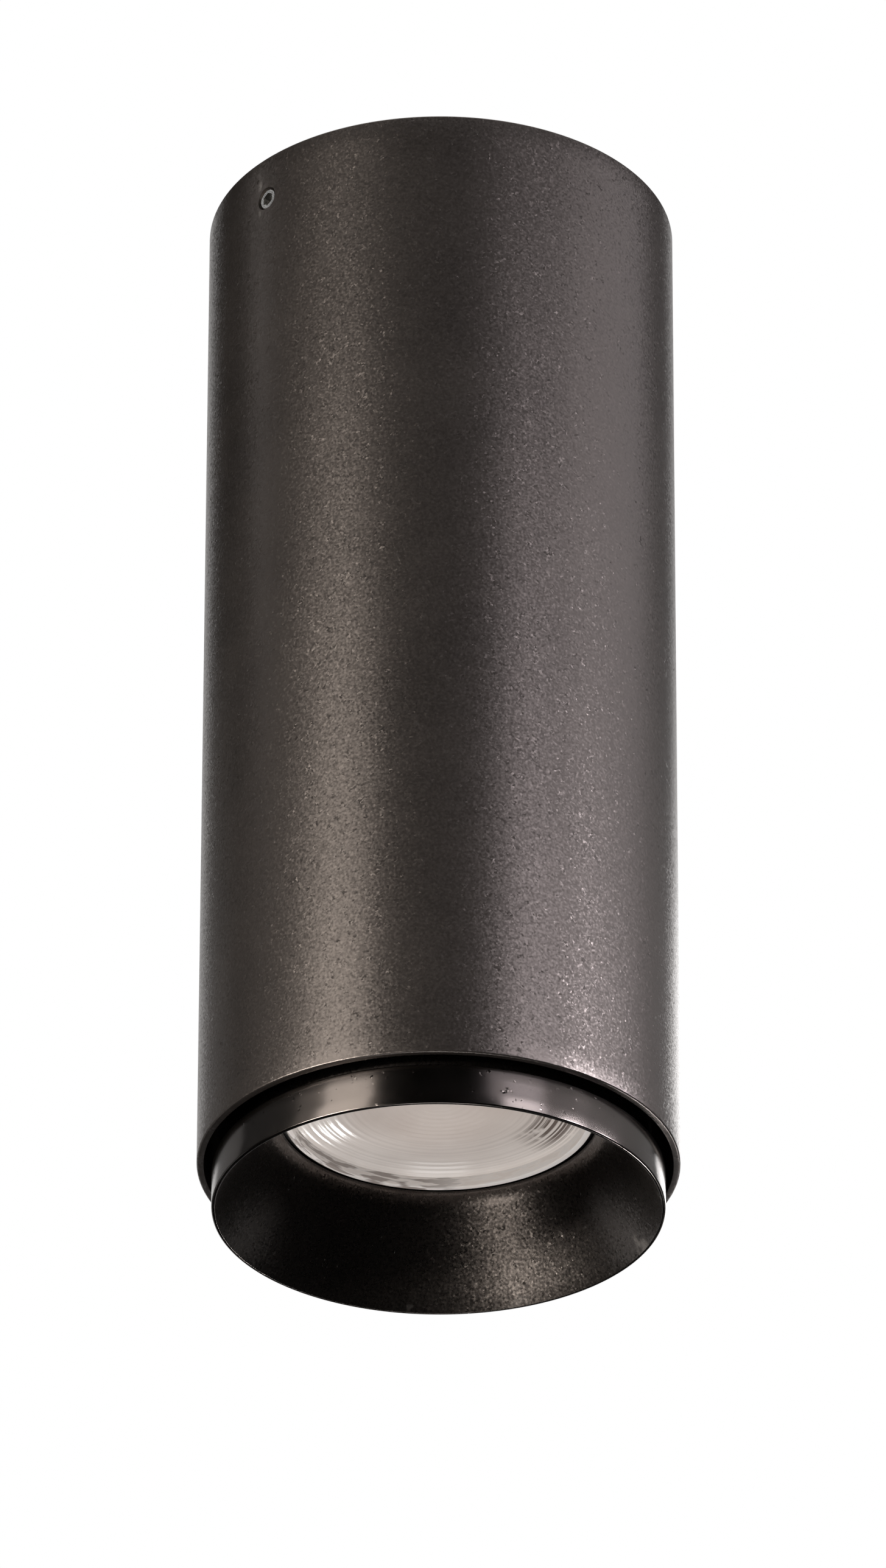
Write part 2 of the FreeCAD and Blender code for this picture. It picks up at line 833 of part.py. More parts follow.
def make_led_holder():
    """A moulded ring that presses the light source on the sink and lets the two leads in."""
    holder = upright(led_holder_radius, sink_face, led_holder_bottom)
    recess = square(substrate_side + 2 * led_holder_recess_gap, sink_face, substrate_bottom)
    window = upright(led_holder_window, substrate_bottom, led_holder_bottom)
    hollows = [recess, window]
    notch = led_lead_radius + lead_hole_gap
    for x, y in led_lead_places():
        hollows.append(block(x - notch, x + notch, y - notch, led_lead_end + notch,
                             sink_face, led_holder_bottom))
    for side in (-1, 1):
        x = side * led_holder_screw_place
        hollows.append(upright(m3_radius + m3_hole_gap, sink_face, led_holder_bottom, x, 0.0))
    return holder.cut(hollows)


def make_led_holder_screws():
    length = led_holder_bottom - sink_shoulder - m3_point_gap
    sides = (-1, 1)
    return Part.makeCompound([
        socket_screw(point(side * led_holder_screw_place, 0.0, led_holder_bottom), UP, length)
        for side in sides])


# ---------------------------------------------------------------- lens, its holder and keeper

def make_lens():
    """A collimating lens: a bell with a well for the light, a flange and a ringed front face."""
    waist_depth = lens_top + lens_waist_share * lens_height
    bell = [
        Part.Arc(point(lens_top_radius, 0, lens_top),
                 point(lens_waist_radius, 0, waist_depth),
                 point(lens_base_radius, 0, lens_flange_top)).toShape(),
    ]
    rim = [
        (lens_base_radius, lens_flange_top),
        (lens_flange_radius, lens_flange_top),
        (lens_flange_radius, keeper_top),
        (lens_radius, keeper_top),
        (lens_radius, lens_face),
    ]
    pitch = (lens_radius - lens_centre_radius) / (lens_groove_count + 1)
    for index in range(lens_groove_count):
        crest = lens_radius - (index + 1) * pitch
        rim.append((crest + pitch / 2, lens_face - lens_groove_depth))
        rim.append((crest, lens_face))
    rim.append((lens_centre_radius, lens_face - lens_groove_depth))
    well_bottom = lens_top + lens_well_depth
    rim += [
        (0.0, lens_face - lens_groove_depth),
        (0.0, well_bottom),
        (lens_well_radius, well_bottom),
        (lens_well_radius, lens_top),
        (lens_top_radius, lens_top),
    ]
    places = [point(radius, 0.0, depth) for radius, depth in rim]
    straight = [Part.LineSegment(a, b).toShape() for a, b in zip(places, places[1:])]
    outline = Part.Face(Part.Wire(bell + straight))
    return outline.revolve(FreeCAD.Vector(), UP, 360)


def optic_places():
    return around(optic_screw_count, optic_screw_circle, optic_screw_first_angle)


def optic_screw_holes():
    length = keeper_bottom - sink_face
    return [flush_screw_hole(point(x, y, keeper_bottom), UP, length) for x, y in optic_places()]


def make_lens_holder():
    shell = turned([
        (holder_inner_radius, sink_face),
        (holder_outer_radius, sink_face),
        (holder_outer_radius, holder_flange_top),
        (ring_neck_radius, holder_flange_top),
        (ring_neck_radius, keeper_top),
        (lens_flange_radius + holder_pocket_gap, keeper_top),
        (lens_flange_radius + holder_pocket_gap, lens_flange_top),
        (holder_inner_radius, lens_flange_top),
    ])
    bosses = [upright(holder_boss_radius, sink_face, lens_flange_top, x, y) for x, y in optic_places()]
    inside = upright(holder_inner_radius, sink_face, lens_flange_top)
    return joined([shell] + bosses).cut([inside] + optic_screw_holes())


def make_keeper_ring():
    ring = turned([
        (lens_radius + keeper_bore_gap, keeper_top),
        (ring_neck_radius, keeper_top),
        (ring_neck_radius, keeper_bottom),
        (lens_radius + keeper_bore_gap, keeper_bottom),
    ])
    return ring.cut(optic_screw_holes())


def make_optic_screws():
    length = keeper_bottom - sink_shoulder - m3_point_gap
    return Part.makeCompound([
        flush_screw(point(x, y, keeper_bottom), UP, length) for x, y in optic_places()])


# ---------------------------------------------------------------- glare ring

def magnet_places():
    return around(magnet_count, magnet_circle, magnet_first_angle)


def make_glare_ring():
    """The band that stands out of the tube, its neck inside the tube and the cone round the light."""
    ring = turned([
        (ring_bore_radius, ring_top),
        (ring_neck_radius, ring_top),
        (ring_neck_radius, ring_band_top),
        (ring_radius - ring_chamfer, ring_band_top),
        (ring_radius, ring_band_top + ring_chamfer),
        (ring_radius, ring_bottom - ring_chamfer),
        (ring_radius - ring_chamfer, ring_bottom),
        (ring_lip_radius, ring_bottom),
        (ring_bore_radius, ring_top + ring_land),
    ])
    pocket = magnet_radius + magnet_fit_gap
    return ring.cut([upright(pocket, ring_top, ring_top + magnet_thickness, x, y)
                     for x, y in magnet_places()])


def make_ring_magnets():
    return Part.makeCompound([
        upright(magnet_radius, ring_top, ring_top + magnet_thickness, x, y) for x, y in magnet_places()])


# ---------------------------------------------------------------- every node

def main():
    os.makedirs("parts", exist_ok=True)
    pad_bottom = sink_face + pad_thickness
    led_leads = dict(zip(("led_lead_minus", "led_lead_plus"), led_lead_places()))
    write("ceiling_cup", make_ceiling_cup())
    write("cable_grommet", make_cable_grommet())
    write("set_screw_front", make_set_screw(set_screw_front_angle))
    write("set_screw_rear", make_set_screw(set_screw_front_angle + 180))
    write("housing_tube", make_housing_tube())
    write("heat_sink", make_heat_sink())
    write("sink_plate", make_sink_plate())
    write("core_screws", make_core_screws())
    write("sink_screws", make_sink_screws())
    write("driver_bracket", make_driver_bracket())
    write("bracket_screws", make_bracket_screws())
    write("terminal_block", make_terminal_block())
    write("terminal_tunnels", make_terminal_tunnels())
    write("terminal_screws", make_terminal_screws())
    write("block_screws", make_block_screws())
    write("earth_screw", make_earth_screw())
    write("earth_lug", make_earth_lug())
    write("driver_case", make_driver_case())
    write("driver_lid", make_driver_lid())
    write("driver_screws", make_driver_screws())
    write("driver_board", make_driver_board())
    write("driver_transformer", make_driver_transformer())
    write("driver_capacitors", make_driver_capacitors())
    write("driver_coil", make_driver_coil())
    for name, x in zip(("live_lead", "neutral_lead"), pole_places()):
        write(name, make_mains_lead(name, x))
    write("earth_lead", make_earth_lead())
    for name, place in led_leads.items():
        write(name, make_led_lead(name, *place))
    write("thermal_pad", square(substrate_side, sink_face, pad_bottom))
    write("led_substrate", square(substrate_side, substrate_top, substrate_bottom))
    write("led_phosphor", upright(phosphor_radius, substrate_bottom, phosphor_bottom))
    write("led_holder", make_led_holder())
    write("led_holder_screws", make_led_holder_screws())
    write("lens", make_lens())
    write("lens_holder", make_lens_holder())
    write("keeper_ring", make_keeper_ring())
    write("optic_screws", make_optic_screws())
    write("glare_ring", make_glare_ring())
    write("ring_magnets", make_ring_magnets())


main()
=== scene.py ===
import math

import bmesh
import bpy
from mathutils import Matrix, Vector


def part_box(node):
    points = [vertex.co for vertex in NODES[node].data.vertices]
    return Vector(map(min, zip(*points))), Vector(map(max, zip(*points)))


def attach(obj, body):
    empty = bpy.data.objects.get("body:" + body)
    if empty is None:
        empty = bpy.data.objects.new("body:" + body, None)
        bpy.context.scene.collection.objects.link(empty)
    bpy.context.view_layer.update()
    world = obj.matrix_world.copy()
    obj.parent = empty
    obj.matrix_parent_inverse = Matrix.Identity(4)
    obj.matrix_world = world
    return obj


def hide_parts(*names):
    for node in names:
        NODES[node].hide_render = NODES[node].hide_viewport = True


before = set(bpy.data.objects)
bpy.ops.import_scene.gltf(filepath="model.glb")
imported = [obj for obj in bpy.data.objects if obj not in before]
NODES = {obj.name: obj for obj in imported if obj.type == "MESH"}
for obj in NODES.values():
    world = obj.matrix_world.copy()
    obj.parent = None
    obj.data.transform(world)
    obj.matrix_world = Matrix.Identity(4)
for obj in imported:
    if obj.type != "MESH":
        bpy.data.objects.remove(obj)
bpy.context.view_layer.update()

MM = 0.001

# ---------------------------------------------------------------- sizes read from the frame, metres

TUBE_LOW, TUBE_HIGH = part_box("housing_tube")
TUBE_RADIUS = TUBE_HIGH.x
TUBE_TOP = TUBE_HIGH.z
TUBE_BOTTOM = TUBE_LOW.z
RING_LOW, RING_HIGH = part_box("glare_ring")
RING_RADIUS = RING_HIGH.x
RING_TOP = RING_HIGH.z
RING_BOTTOM = RING_LOW.z
_, KEEPER_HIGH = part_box("keeper_ring")
NECK_RADIUS = KEEPER_HIGH.x
LENS_LOW, LENS_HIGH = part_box("lens")
LENS_FLANGE_RADIUS = LENS_HIGH.x
LENS_TOP = LENS_HIGH.z
LENS_FACE = LENS_LOW.z
_, PLATE_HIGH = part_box("sink_plate")
PLATE_TOP = PLATE_HIGH.z
MAGNET_LOW, MAGNET_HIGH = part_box("ring_magnets")
SCREW_LOW, SCREW_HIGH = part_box("set_screw_front")
SCREW_Z = (SCREW_LOW.z + SCREW_HIGH.z) / 2

# ---------------------------------------------------------------- sizes of the detail, metres

WALL = 2.0 * MM
MOUTH_WALL = 1.1 * MM
BORE_RADIUS = TUBE_RADIUS - WALL
MOUTH_RADIUS = TUBE_RADIUS - MOUTH_WALL
RIM_ROUND = 0.3 * MM
BORE_ROUND = 0.15 * MM
MOUTH_ROUND = 0.12 * MM
TUBE_LONGEST_EDGE = 3.4 * MM
PORT_RADIUS = 3.2 * MM
PORT_HOLE_RADIUS = 1.55 * MM
PORT_CIRCLE = BORE_RADIUS - 2.6 * MM
PORT_TOP = -18.0 * MM
PORT_ROUND = 0.1 * MM
PORT_ANGLES = (90.0, 210.0, 330.0)

SCREW_ANGLES = {"set_screw_front": 221.8, "set_screw_rear": 41.8}
SCREW_RADIUS = 1.95 * MM
SCREW_HOLE_RADIUS = 2.0 * MM
SCREW_END = TUBE_RADIUS - 0.3 * MM
SCREW_TIP = SCREW_END - 3.9 * MM
SCREW_THREAD_PITCH = 0.7 * MM
SCREW_THREAD_DEPTH = 0.22 * MM
SCREW_CHAMFER = 0.35 * MM
SCREW_SOCKET = 2.0 * MM
SCREW_SOCKET_DEPTH = 1.8 * MM

BAND_TOP = TUBE_BOTTOM - 0.9 * MM
RING_EDGE = 0.3 * MM
RING_LIP = 0.25 * MM
LENS_RADIUS = LENS_FLANGE_RADIUS - 1.5 * MM
RING_BORE_RADIUS = LENS_RADIUS + 0.6 * MM
RING_LAND = 1.0 * MM
RING_BORE_ROUND = 0.15 * MM
NECK_ROUND = 0.3 * MM
BAND_TOP_ROUND = 0.25 * MM
BAND_BOTTOM_ROUND = 0.28 * MM
LIP_ROUND = 0.12 * MM
LIP_MARGIN = 0.1 * MM
BAND_MARGIN = 0.05 * MM
RING_LONGEST_EDGE = 2.5 * MM
MAGNET_POCKET_RADIUS = 2.55 * MM
MAGNET_CIRCLE = (RING_BORE_RADIUS + NECK_RADIUS) / 2
MAGNET_ANGLES = PORT_ANGLES

LENS_FLANGE_THICKNESS = 1.2 * MM
LENS_BOSS = 1.6 * MM
LENS_RIM = 1.1 * MM
LENS_STEP = 1.7 * MM
LENS_WALL_DRAFT = 0.12 * MM
LENS_RING_PITCH = 1.2 * MM
LENS_RING_DEPTH = 0.05 * MM
LENS_DISH = 1.1 * MM
LENS_BASE_RADIUS = 22.5 * MM
LENS_TOP_RADIUS = 8.0 * MM
LENS_WELL_RADIUS = 6.2 * MM
LENS_WELL_DEPTH = 6.0 * MM
LENS_EDGE_ROUND = 0.15 * MM
LENS_LIP_ROUND = 0.25 * MM
LENS_RING_SAMPLES = 8
LENS_BELL_STEPS = 12
LENS_BELL_CURVE = 0.62
LENS_WALL_SHARE = 0.98
LENS_WALL_MARGIN = 0.05 * MM

# ---------------------------------------------------------------- mesh fineness, in counts and degrees

ON_AXIS = 1e-9
SHARP_ANGLE = 32.0
LENS_SHARP_ANGLE = 40.0
ROUND_STEPS = 5
PORT_ROUND_STEPS = 2
TURN_STEPS = 320
LENS_TURN_STEPS = 256
PORT_TURN_STEPS = 40
SCREW_TURN_STEPS = 48
DRILL_STEPS = 48
HEXAGON_STEPS = 6


# ---------------------------------------------------------------- mesh helpers

def new_object(name, mesh):
    """A new object with this mesh, in the scene."""
    piece = bpy.data.objects.new(name, mesh)
    bpy.context.scene.collection.objects.link(piece)
    return piece


def surfaced(piece, *materials, sharp=SHARP_ANGLE):
    """Gives a piece its materials and smooth shading, sharp only where faces meet at more than this angle."""
    mesh = piece.data
    mesh.shade_smooth()
    mesh.set_sharp_from_angle(angle=math.radians(sharp))
    mesh.materials.clear()
    for material in materials:
        mesh.materials.append(material)


def rounded(corners, steps=ROUND_STEPS):
    """Points of an outline whose (radius, z, fillet) corners are rounded where fillet is above 0."""
    points = []
    count = len(corners)
    for index, (radius, z, fillet) in enumerate(corners):
        corner = Vector((radius, z))
        if fillet <= 0:
            points.append(corner)
            continue
        before = Vector(corners[index - 1][:2])
        after = Vector(corners[(index + 1) % count][:2])
        to_before = (before - corner).normalized()
        to_after = (after - corner).normalized()
        half = to_before.angle(to_after) / 2
        trim = fillet / math.tan(half)
        start = corner + to_before * trim
        end = corner + to_after * trim
        centre = corner + (to_before + to_after).normalized() * (fillet / math.sin(half))
        first = start - centre
        last = end - centre
        turn = first.angle_signed(last)
        for step in range(steps + 1):
            angle = -turn * step / steps
            cos = math.cos(angle)
            sin = math.sin(angle)
            spoke = Vector((first.x * cos - first.y * sin, first.x * sin + first.y * cos))
            points.append(centre + spoke)
    return points


def split_long(points, longest):
    """The same closed outline with its long straight runs cut into shorter ones."""
    out = []
    for index, here in enumerate(points):
        there = points[(index + 1) % len(points)]
        out.append(here)
        pieces = max(1, math.ceil((there - here).length / longest))
        out += [here.lerp(there, step / pieces) for step in range(1, pieces)]
    return out


def turned(name, points, steps):
    """An object made of a closed outline of (radius, z) points turned about the z axis. A point at radius 0
    becomes one vertex."""
    mesh = bpy.data.meshes.new(name)
    work = bmesh.new()
    columns = []
    for index in range(steps):
        angle = 2 * math.pi * index / steps
        cos = math.cos(angle)
        sin = math.sin(angle)
        columns.append([
            None if p.x < ON_AXIS else work.verts.new((p.x * cos, p.x * sin, p.y))
            for p in points
        ])
    poles = {
        row: work.verts.new((0, 0, p.y))
        for row, p in enumerate(points)
        if p.x < ON_AXIS
    }
    for index, column in enumerate(columns):
        beside = columns[(index + 1) % steps]
        for row in range(len(points)):
            below = (row + 1) % len(points)
            around = [
                column[row] or poles[row],
                beside[row] or poles[row],
                beside[below] or poles[below],
                column[below] or poles[below],
            ]
            corners = list(dict.fromkeys(around))
            if len(corners) > 2:
                work.faces.new(corners)
    bmesh.ops.recalc_face_normals(work, faces=work.faces)
    work.to_mesh(mesh)
    work.free()
    return new_object(name, mesh)


def cylinder_tool(name, radius, length, matrix, steps=DRILL_STEPS):
    """A closed cylinder about its own z axis, placed by a matrix, for cutting."""
    mesh = bpy.data.meshes.new(name)
    work = bmesh.new()
    bmesh.ops.create_cone(work, cap_ends=True, segments=steps, radius1=radius, radius2=radius, depth=length)
    bmesh.ops.transform(work, matrix=matrix, verts=work.verts)
    work.to_mesh(mesh)
    work.free()
    return new_object(name, mesh)


def drilled(piece, tools):
    """Cuts the tools out of a piece for good, and removes them."""
    for tool in tools:
        cut = piece.modifiers.new("cut", "BOOLEAN")
        cut.operation = "DIFFERENCE"
        cut.solver = "EXACT"
        cut.object = tool
    bpy.context.view_layer.update()
    graph = bpy.context.evaluated_depsgraph_get()
    mesh = bpy.data.meshes.new_from_object(piece.evaluated_get(graph))
    piece.modifiers.clear()
    piece.data = mesh
    for tool in tools:
        bpy.data.objects.remove(tool)


def outward(angle):
    """The level direction at this many degrees round the part's axis."""
    turn = math.radians(angle)
    return Vector((math.cos(turn), math.sin(turn), 0.0))


def lying_along(direction, place):
    """The matrix that lays a z axis along a direction through a place."""
    return Matrix.Translation(place) @ direction.to_track_quat("Z", "Y").to_matrix().to_4x4()


def distance_out(face):
    """How far a face's middle is from the part's axis."""
    return math.hypot(face.center.x, face.center.y)


# ---------------------------------------------------------------- material helpers

MIX_COLOUR_INPUTS = (6, 7)
MIX_COLOUR_OUTPUT = 2
GREY = (0.5, 0.5, 0.5)


def shaded(colour, share):
    """A colour with each of its parts multiplied by a share."""
    return tuple(share * part for part in colour)


class Shader:
    """A node material with short calls for the nodes used here. Places are in metres on the object."""

    def __init__(self, name):
        self.material = bpy.data.materials.new(name)
        self.material.use_nodes = True
        self.tree = self.material.node_tree
        self.surface = self.tree.nodes["Principled BSDF"]
        self.place = self.node("ShaderNodeTexCoord").outputs["Object"]

    def node(self, kind, **settings):
        """A new node of this kind."""
        made = self.tree.nodes.new(kind)
        for key, value in settings.items():
            setattr(made, key, value)
        return made

    def link(self, source, socket):
        """Links one node's output to a socket."""
        self.tree.links.new(source, socket)

    def feed(self, value, socket):
        """Links another node's output to a socket, or sets the socket to a plain value."""
        if isinstance(value, bpy.types.NodeSocket):
            self.link(value, socket)
        else:
            socket.default_value = value

    def set(self, **values):
        """Sets the surface's own sockets, named with _ for a space."""
        for key, value in values.items():
            self.surface.inputs[key.replace("_", " ")].default_value = value

    def noise(self, size, detail=2.0, roughness=0.5, output="Fac", place=None):
        """Noise whose features are about this size in metres."""
        made = self.node("ShaderNodeTexNoise")
        made.inputs["Scale"].default_value = 1.0 / size
        made.inputs["Detail"].default_value = detail
        made.inputs["Roughness"].default_value = roughness
        self.link(place or self.place, made.inputs["Vector"])
        return made.outputs[output]

    def bands(self, value, size):
        """Noise that changes along one value only, in bands about this size in metres."""
        made = self.node("ShaderNodeTexNoise", noise_dimensions="1D")
        made.inputs["Scale"].default_value = 1.0 / size
        self.link(value, made.inputs["W"])
        return made.outputs["Fac"]

    def cells(self, size):
        """Random colours in cells of about this size in metres."""
        made = self.node("ShaderNodeTexVoronoi")
        made.inputs["Scale"].default_value = 1.0 / size
        self.link(self.place, made.inputs["Vector"])
        return made.outputs["Color"]

    def span(self, value, low, high, new_low=0.0, new_high=1.0):
        """A value between low and high, stretched to lie between two new ones and held there."""
        made = self.node("ShaderNodeMapRange")
        made.inputs["From Min"].default_value = low
        made.inputs["From Max"].default_value = high
        made.inputs["To Min"].default_value = new_low
        made.inputs["To Max"].default_value = new_high
        self.link(value, made.inputs["Value"])
        return made.outputs["Result"]

    def math(self, operation, first, second=0.0):
        """One operation on numbers."""
        made = self.node("ShaderNodeMath", operation=operation)
        self.feed(first, made.inputs[0])
        self.feed(second, made.inputs[1])
        return made.outputs["Value"]

    def product(self, *values):
        """All the values multiplied together."""
        result = values[0]
        for value in values[1:]:
            result = self.math("MULTIPLY", result, value)
        return result

    def vector(self, operation, first, second=None):
        """One operation on vectors. The second value is a vector too, or for SCALE a number."""
        made = self.node("ShaderNodeVectorMath", operation=operation)
        self.feed(first, made.inputs[0])
        if second is not None:
            self.feed(second, made.inputs["Scale" if operation == "SCALE" else 1])
        return made.outputs["Vector"]

    def joined(self, x, y, z=0.0):
        """A vector made of three numbers."""
        made = self.node("ShaderNodeCombineXYZ")
        for value, socket in zip((x, y, z), made.inputs):
            self.feed(value, socket)
        return made.outputs["Vector"]

    def blend(self, share, first, second):
        """A colour between two colours."""
        made = self.node("ShaderNodeMix", data_type="RGBA")
        self.link(share, made.inputs["Factor"])
        for index, value in zip(MIX_COLOUR_INPUTS, (first, second)):
            filled = (*value, 1.0) if isinstance(value, tuple) else value
            self.feed(filled, made.inputs[index])
        return made.outputs[MIX_COLOUR_OUTPUT]

    def colour(self, source):
        """The surface's base colour."""
        self.link(source, self.surface.inputs["Base Color"])

    def rough(self, pattern, spread, smoothest, roughest):
        """The surface's roughness, between two values as a pattern goes over its spread."""
        self.link(self.span(pattern, *spread, smoothest, roughest), self.surface.inputs["Roughness"])

    def bump(self, height, depth, strength, under=None):
        """A bump of this depth in metres, on top of another bump's normal if given."""
        made = self.node("ShaderNodeBump")
        made.inputs["Distance"].default_value = depth
        made.inputs["Strength"].default_value = strength
        self.link(height, made.inputs["Height"])
        if under is not None:
            self.link(under, made.inputs["Normal"])
        self.link(made.outputs["Normal"], self.surface.inputs["Normal"])
        return made.outputs["Normal"]

    def tipped(self, normal, wander, tilt):
        """A normal tipped by a random colour centred on grey, by up to about half of tilt."""
        centred = self.vector("SUBTRACT", wander, GREY)
        moved = self.vector("ADD", normal, self.vector("SCALE", centred, tilt))
        unit = self.vector("NORMALIZE", moved)
        self.link(unit, self.surface.inputs["Normal"])
        return unit


def split_place(shader):
    """The place's x, y and z, in metres."""
    made = shader.node("ShaderNodeSeparateXYZ")
    shader.link(shader.place, made.inputs["Vector"])
    return made.outputs["X"], made.outputs["Y"], made.outputs["Z"]


def radius_of(shader):
    """The distance from the part's axis, in metres."""
    x, y, _ = split_place(shader)
    squares = shader.math("ADD", shader.product(x, x), shader.product(y, y))
    return shader.math("SQRT", squares)


# ---------------------------------------------------------------- materials

# The part of a noise's values that a blend or a roughness goes over.
MOST_NOISE = (0.3, 0.7)
WIDE_NOISE = (0.25, 0.75)

# Colours are linear red, green and blue. Sizes are those of the noise's features, and depths those of bumps.
COAT_DARK = (0.0060, 0.0050, 0.0044)
COAT_LIGHT = (0.0110, 0.0092, 0.0080)
COAT_WORN = (0.050, 0.046, 0.042)
COAT_SCRATCH = (0.110, 0.105, 0.100)
COAT_TINT = (1.0, 0.87, 0.80, 1.0)
COAT_IOR = 1.8
COAT_CLOUD = 14 * MM
COAT_PEEL = 0.02 * MM
COAT_PEBBLE = 0.40 * MM
COAT_PEBBLE_DEPTH = 0.006 * MM
COAT_WAVE = 0.42 * MM
COAT_FLAKE = 0.30 * MM
COAT_FLAKE_PATCH = 1.0 * MM

WEAR_PATCH = 1.5 * MM
HAIR_WIDTH = 0.22 * MM
HAIR_STRETCH = (1.0, 1.0, 14.0)
HAIR_LIE = (0.7, 0.5, 0.0)
HAIR_PATCH = 9 * MM

SATIN_DARK = (0.0004, 0.0004, 0.0003)
SATIN_LIGHT = (0.0010, 0.0009, 0.0008)
SATIN_CLOUD = 6 * MM
SATIN_LINE = 0.12 * MM
SATIN_LINE_DEPTH = 0.0012 * MM
SATIN_GRAIN = 0.5 * MM
SATIN_GRAIN_DEPTH = 0.003 * MM
SATIN_FLAKE_PATCH = 1.1 * MM

PLASTIC_IOR = 1.49
LENS_MIDDLE = (0.66, 0.56, 0.495)
# The next colour is painted light: the lens is painted lighter towards its edge.
LENS_PAINTED_LIT_EDGE = (0.92, 0.83, 0.76)
LENS_RING_SHADE = (0.50, 0.42, 0.37)
# The next colour is a painted reflection: the dark cone as it would show in the lens.
LENS_PAINTED_CONE_REFLECTION = (0.16, 0.12, 0.10)
LENS_CLOUD = 7 * MM
LENS_ARC = 0.55 * MM
LENS_ARC_DEPTH = 0.002 * MM
LENS_ARC_PATCH = 2.6 * MM
RIM_DULL = (0.74, 0.665, 0.61)
RIM_CLEAR = (0.90, 0.85, 0.81)
# The next colour is painted: dark dashes that stand for the cone seen through the rim.
RIM_PAINTED_CONE = (0.25, 0.20, 0.175)
# The next colour is a painted glow: the rim glows though it is no lamp.
RIM_PAINTED_GLOW = (1.0, 0.92, 0.86, 1.0)
RIM_DASH = 0.7 * MM
RIM_DASH_DEPTH = 0.01 * MM
RIM_DASH_SHARE = 0.14

MASK_GREEN = (0.018, 0.11, 0.035)
TRACK_GREEN = (0.04, 0.21, 0.07)
TRACK_SIZE = 4.0 * MM
TRACK_DEPTH = 0.03 * MM


def wear_on_edges(shader):
    """How far a coat is worn thin: only in patches on its sharpest outer edges, so in a few small places."""
    pointiness = shader.node("ShaderNodeNewGeometry").outputs["Pointiness"]
    edge = shader.span(pointiness, low=0.54, high=0.62)
    patch = shader.span(shader.noise(WEAR_PATCH), low=0.42, high=0.62)
    return shader.product(edge, patch)


def fine_scratches(shader):
    """Hairline marks that lie much the same way, so few that most of a coat has none."""
    lie = shader.node("ShaderNodeMapping", vector_type="TEXTURE")
    lie.inputs["Rotation"].default_value = HAIR_LIE
    lie.inputs["Scale"].default_value = HAIR_STRETCH
    shader.link(shader.place, lie.inputs["Vector"])
    hairs = shader.noise(HAIR_WIDTH, detail=1.0, place=lie.outputs["Vector"])
    patch = shader.noise(HAIR_PATCH, detail=1.0)
    return shader.product(shader.span(hairs, low=0.74, high=0.80), shader.span(patch, low=0.60, high=0.66))


def powder_coat(name, specular, roughness, pebble_tilt, flake_tilt, painted_shade_factor=1.0):
    """Fine textured dark bronze powder coat: a pebbled skin with metal flakes at random tilts in it. A shade
    factor below 1 darkens the coat's colours as painted shade.
    """
    s = Shader(name)
    broad = s.noise(COAT_CLOUD, detail=3.0)
    pebble = s.noise(COAT_PEBBLE, detail=2.5, roughness=0.55)
    # Painted shade: both coat colours are scaled down by the shade factor.
    coat = s.blend(s.span(broad, *MOST_NOISE), shaded(COAT_DARK, painted_shade_factor), shaded(COAT_LIGHT, painted_shade_factor))
    worn = s.blend(wear_on_edges(s), coat, COAT_WORN)
    s.colour(s.blend(fine_scratches(s), worn, COAT_SCRATCH))
    s.rough(pebble, WIDE_NOISE, roughness - 0.05, roughness + 0.07)
    s.set(Specular_IOR_Level=specular, IOR=COAT_IOR, Specular_Tint=COAT_TINT)
    peel = s.bump(broad, COAT_PEEL, strength=0.25)
    skin = s.bump(pebble, COAT_PEBBLE_DEPTH, strength=1.0, under=peel)
    wavy = s.tipped(skin, s.noise(COAT_WAVE, detail=1.0, output="Color"), pebble_tilt)
    sparse = s.span(s.noise(COAT_FLAKE_PATCH, detail=1.0), low=0.52, high=0.70, new_high=flake_tilt)
    s.tipped(wavy, s.cells(COAT_FLAKE), sparse)
    return s.material


def satin_coat(name):
    """The ring band's smooth satin coat, with a faint turned grain and a few flakes."""
    s = Shader(name)
    _, _, z = split_place(s)
    lines = s.bands(z, SATIN_LINE)
    cloud = s.noise(SATIN_CLOUD, detail=3.0)
    s.colour(s.blend(s.span(cloud, *MOST_NOISE), SATIN_DARK, SATIN_LIGHT))
    s.rough(cloud, MOST_NOISE, 0.16, 0.21)
    s.set(Specular_IOR_Level=0.80, IOR=COAT_IOR, Specular_Tint=COAT_TINT)
    turned_grain = s.bump(lines, SATIN_LINE_DEPTH, strength=0.6)
    skin = s.bump(s.noise(SATIN_GRAIN), SATIN_GRAIN_DEPTH, strength=0.6, under=turned_grain)
    sparse = s.span(s.noise(SATIN_FLAKE_PATCH), low=0.64, high=0.74, new_high=0.32)
    s.tipped(skin, s.cells(COAT_FLAKE), sparse)
    return s.material


def across_lens(shader, radius, inner, outer, new_high=1.0):
    """A value that goes from 0 to new_high between two shares of the lens's radius."""
    return shader.span(radius, LENS_RADIUS * inner, LENS_RADIUS * outer, new_high=new_high)


def painted_cone_reflection(shader, x, y, radius, arcs):
    """Where a painted reflection of the dark cone darkens the lens's colour: in thin broken arcs near the
    edge, on one side.
    """
    turn = shader.math("ARCTAN2", y, x)
    sector = shader.product(shader.span(turn, low=0.05, high=0.22), shader.span(turn, low=0.80, high=0.50))
    inside = across_lens(shader, radius, 0.60, 0.70)
    outside = across_lens(shader, radius, 0.95, 0.86)
    broken = shader.span(shader.noise(LENS_ARC_PATCH), low=0.30, high=0.44)
    patch = shader.product(sector, shader.product(inside, outside), broken)
    return shader.product(patch, shader.span(arcs, low=0.42, high=0.54, new_high=0.95))


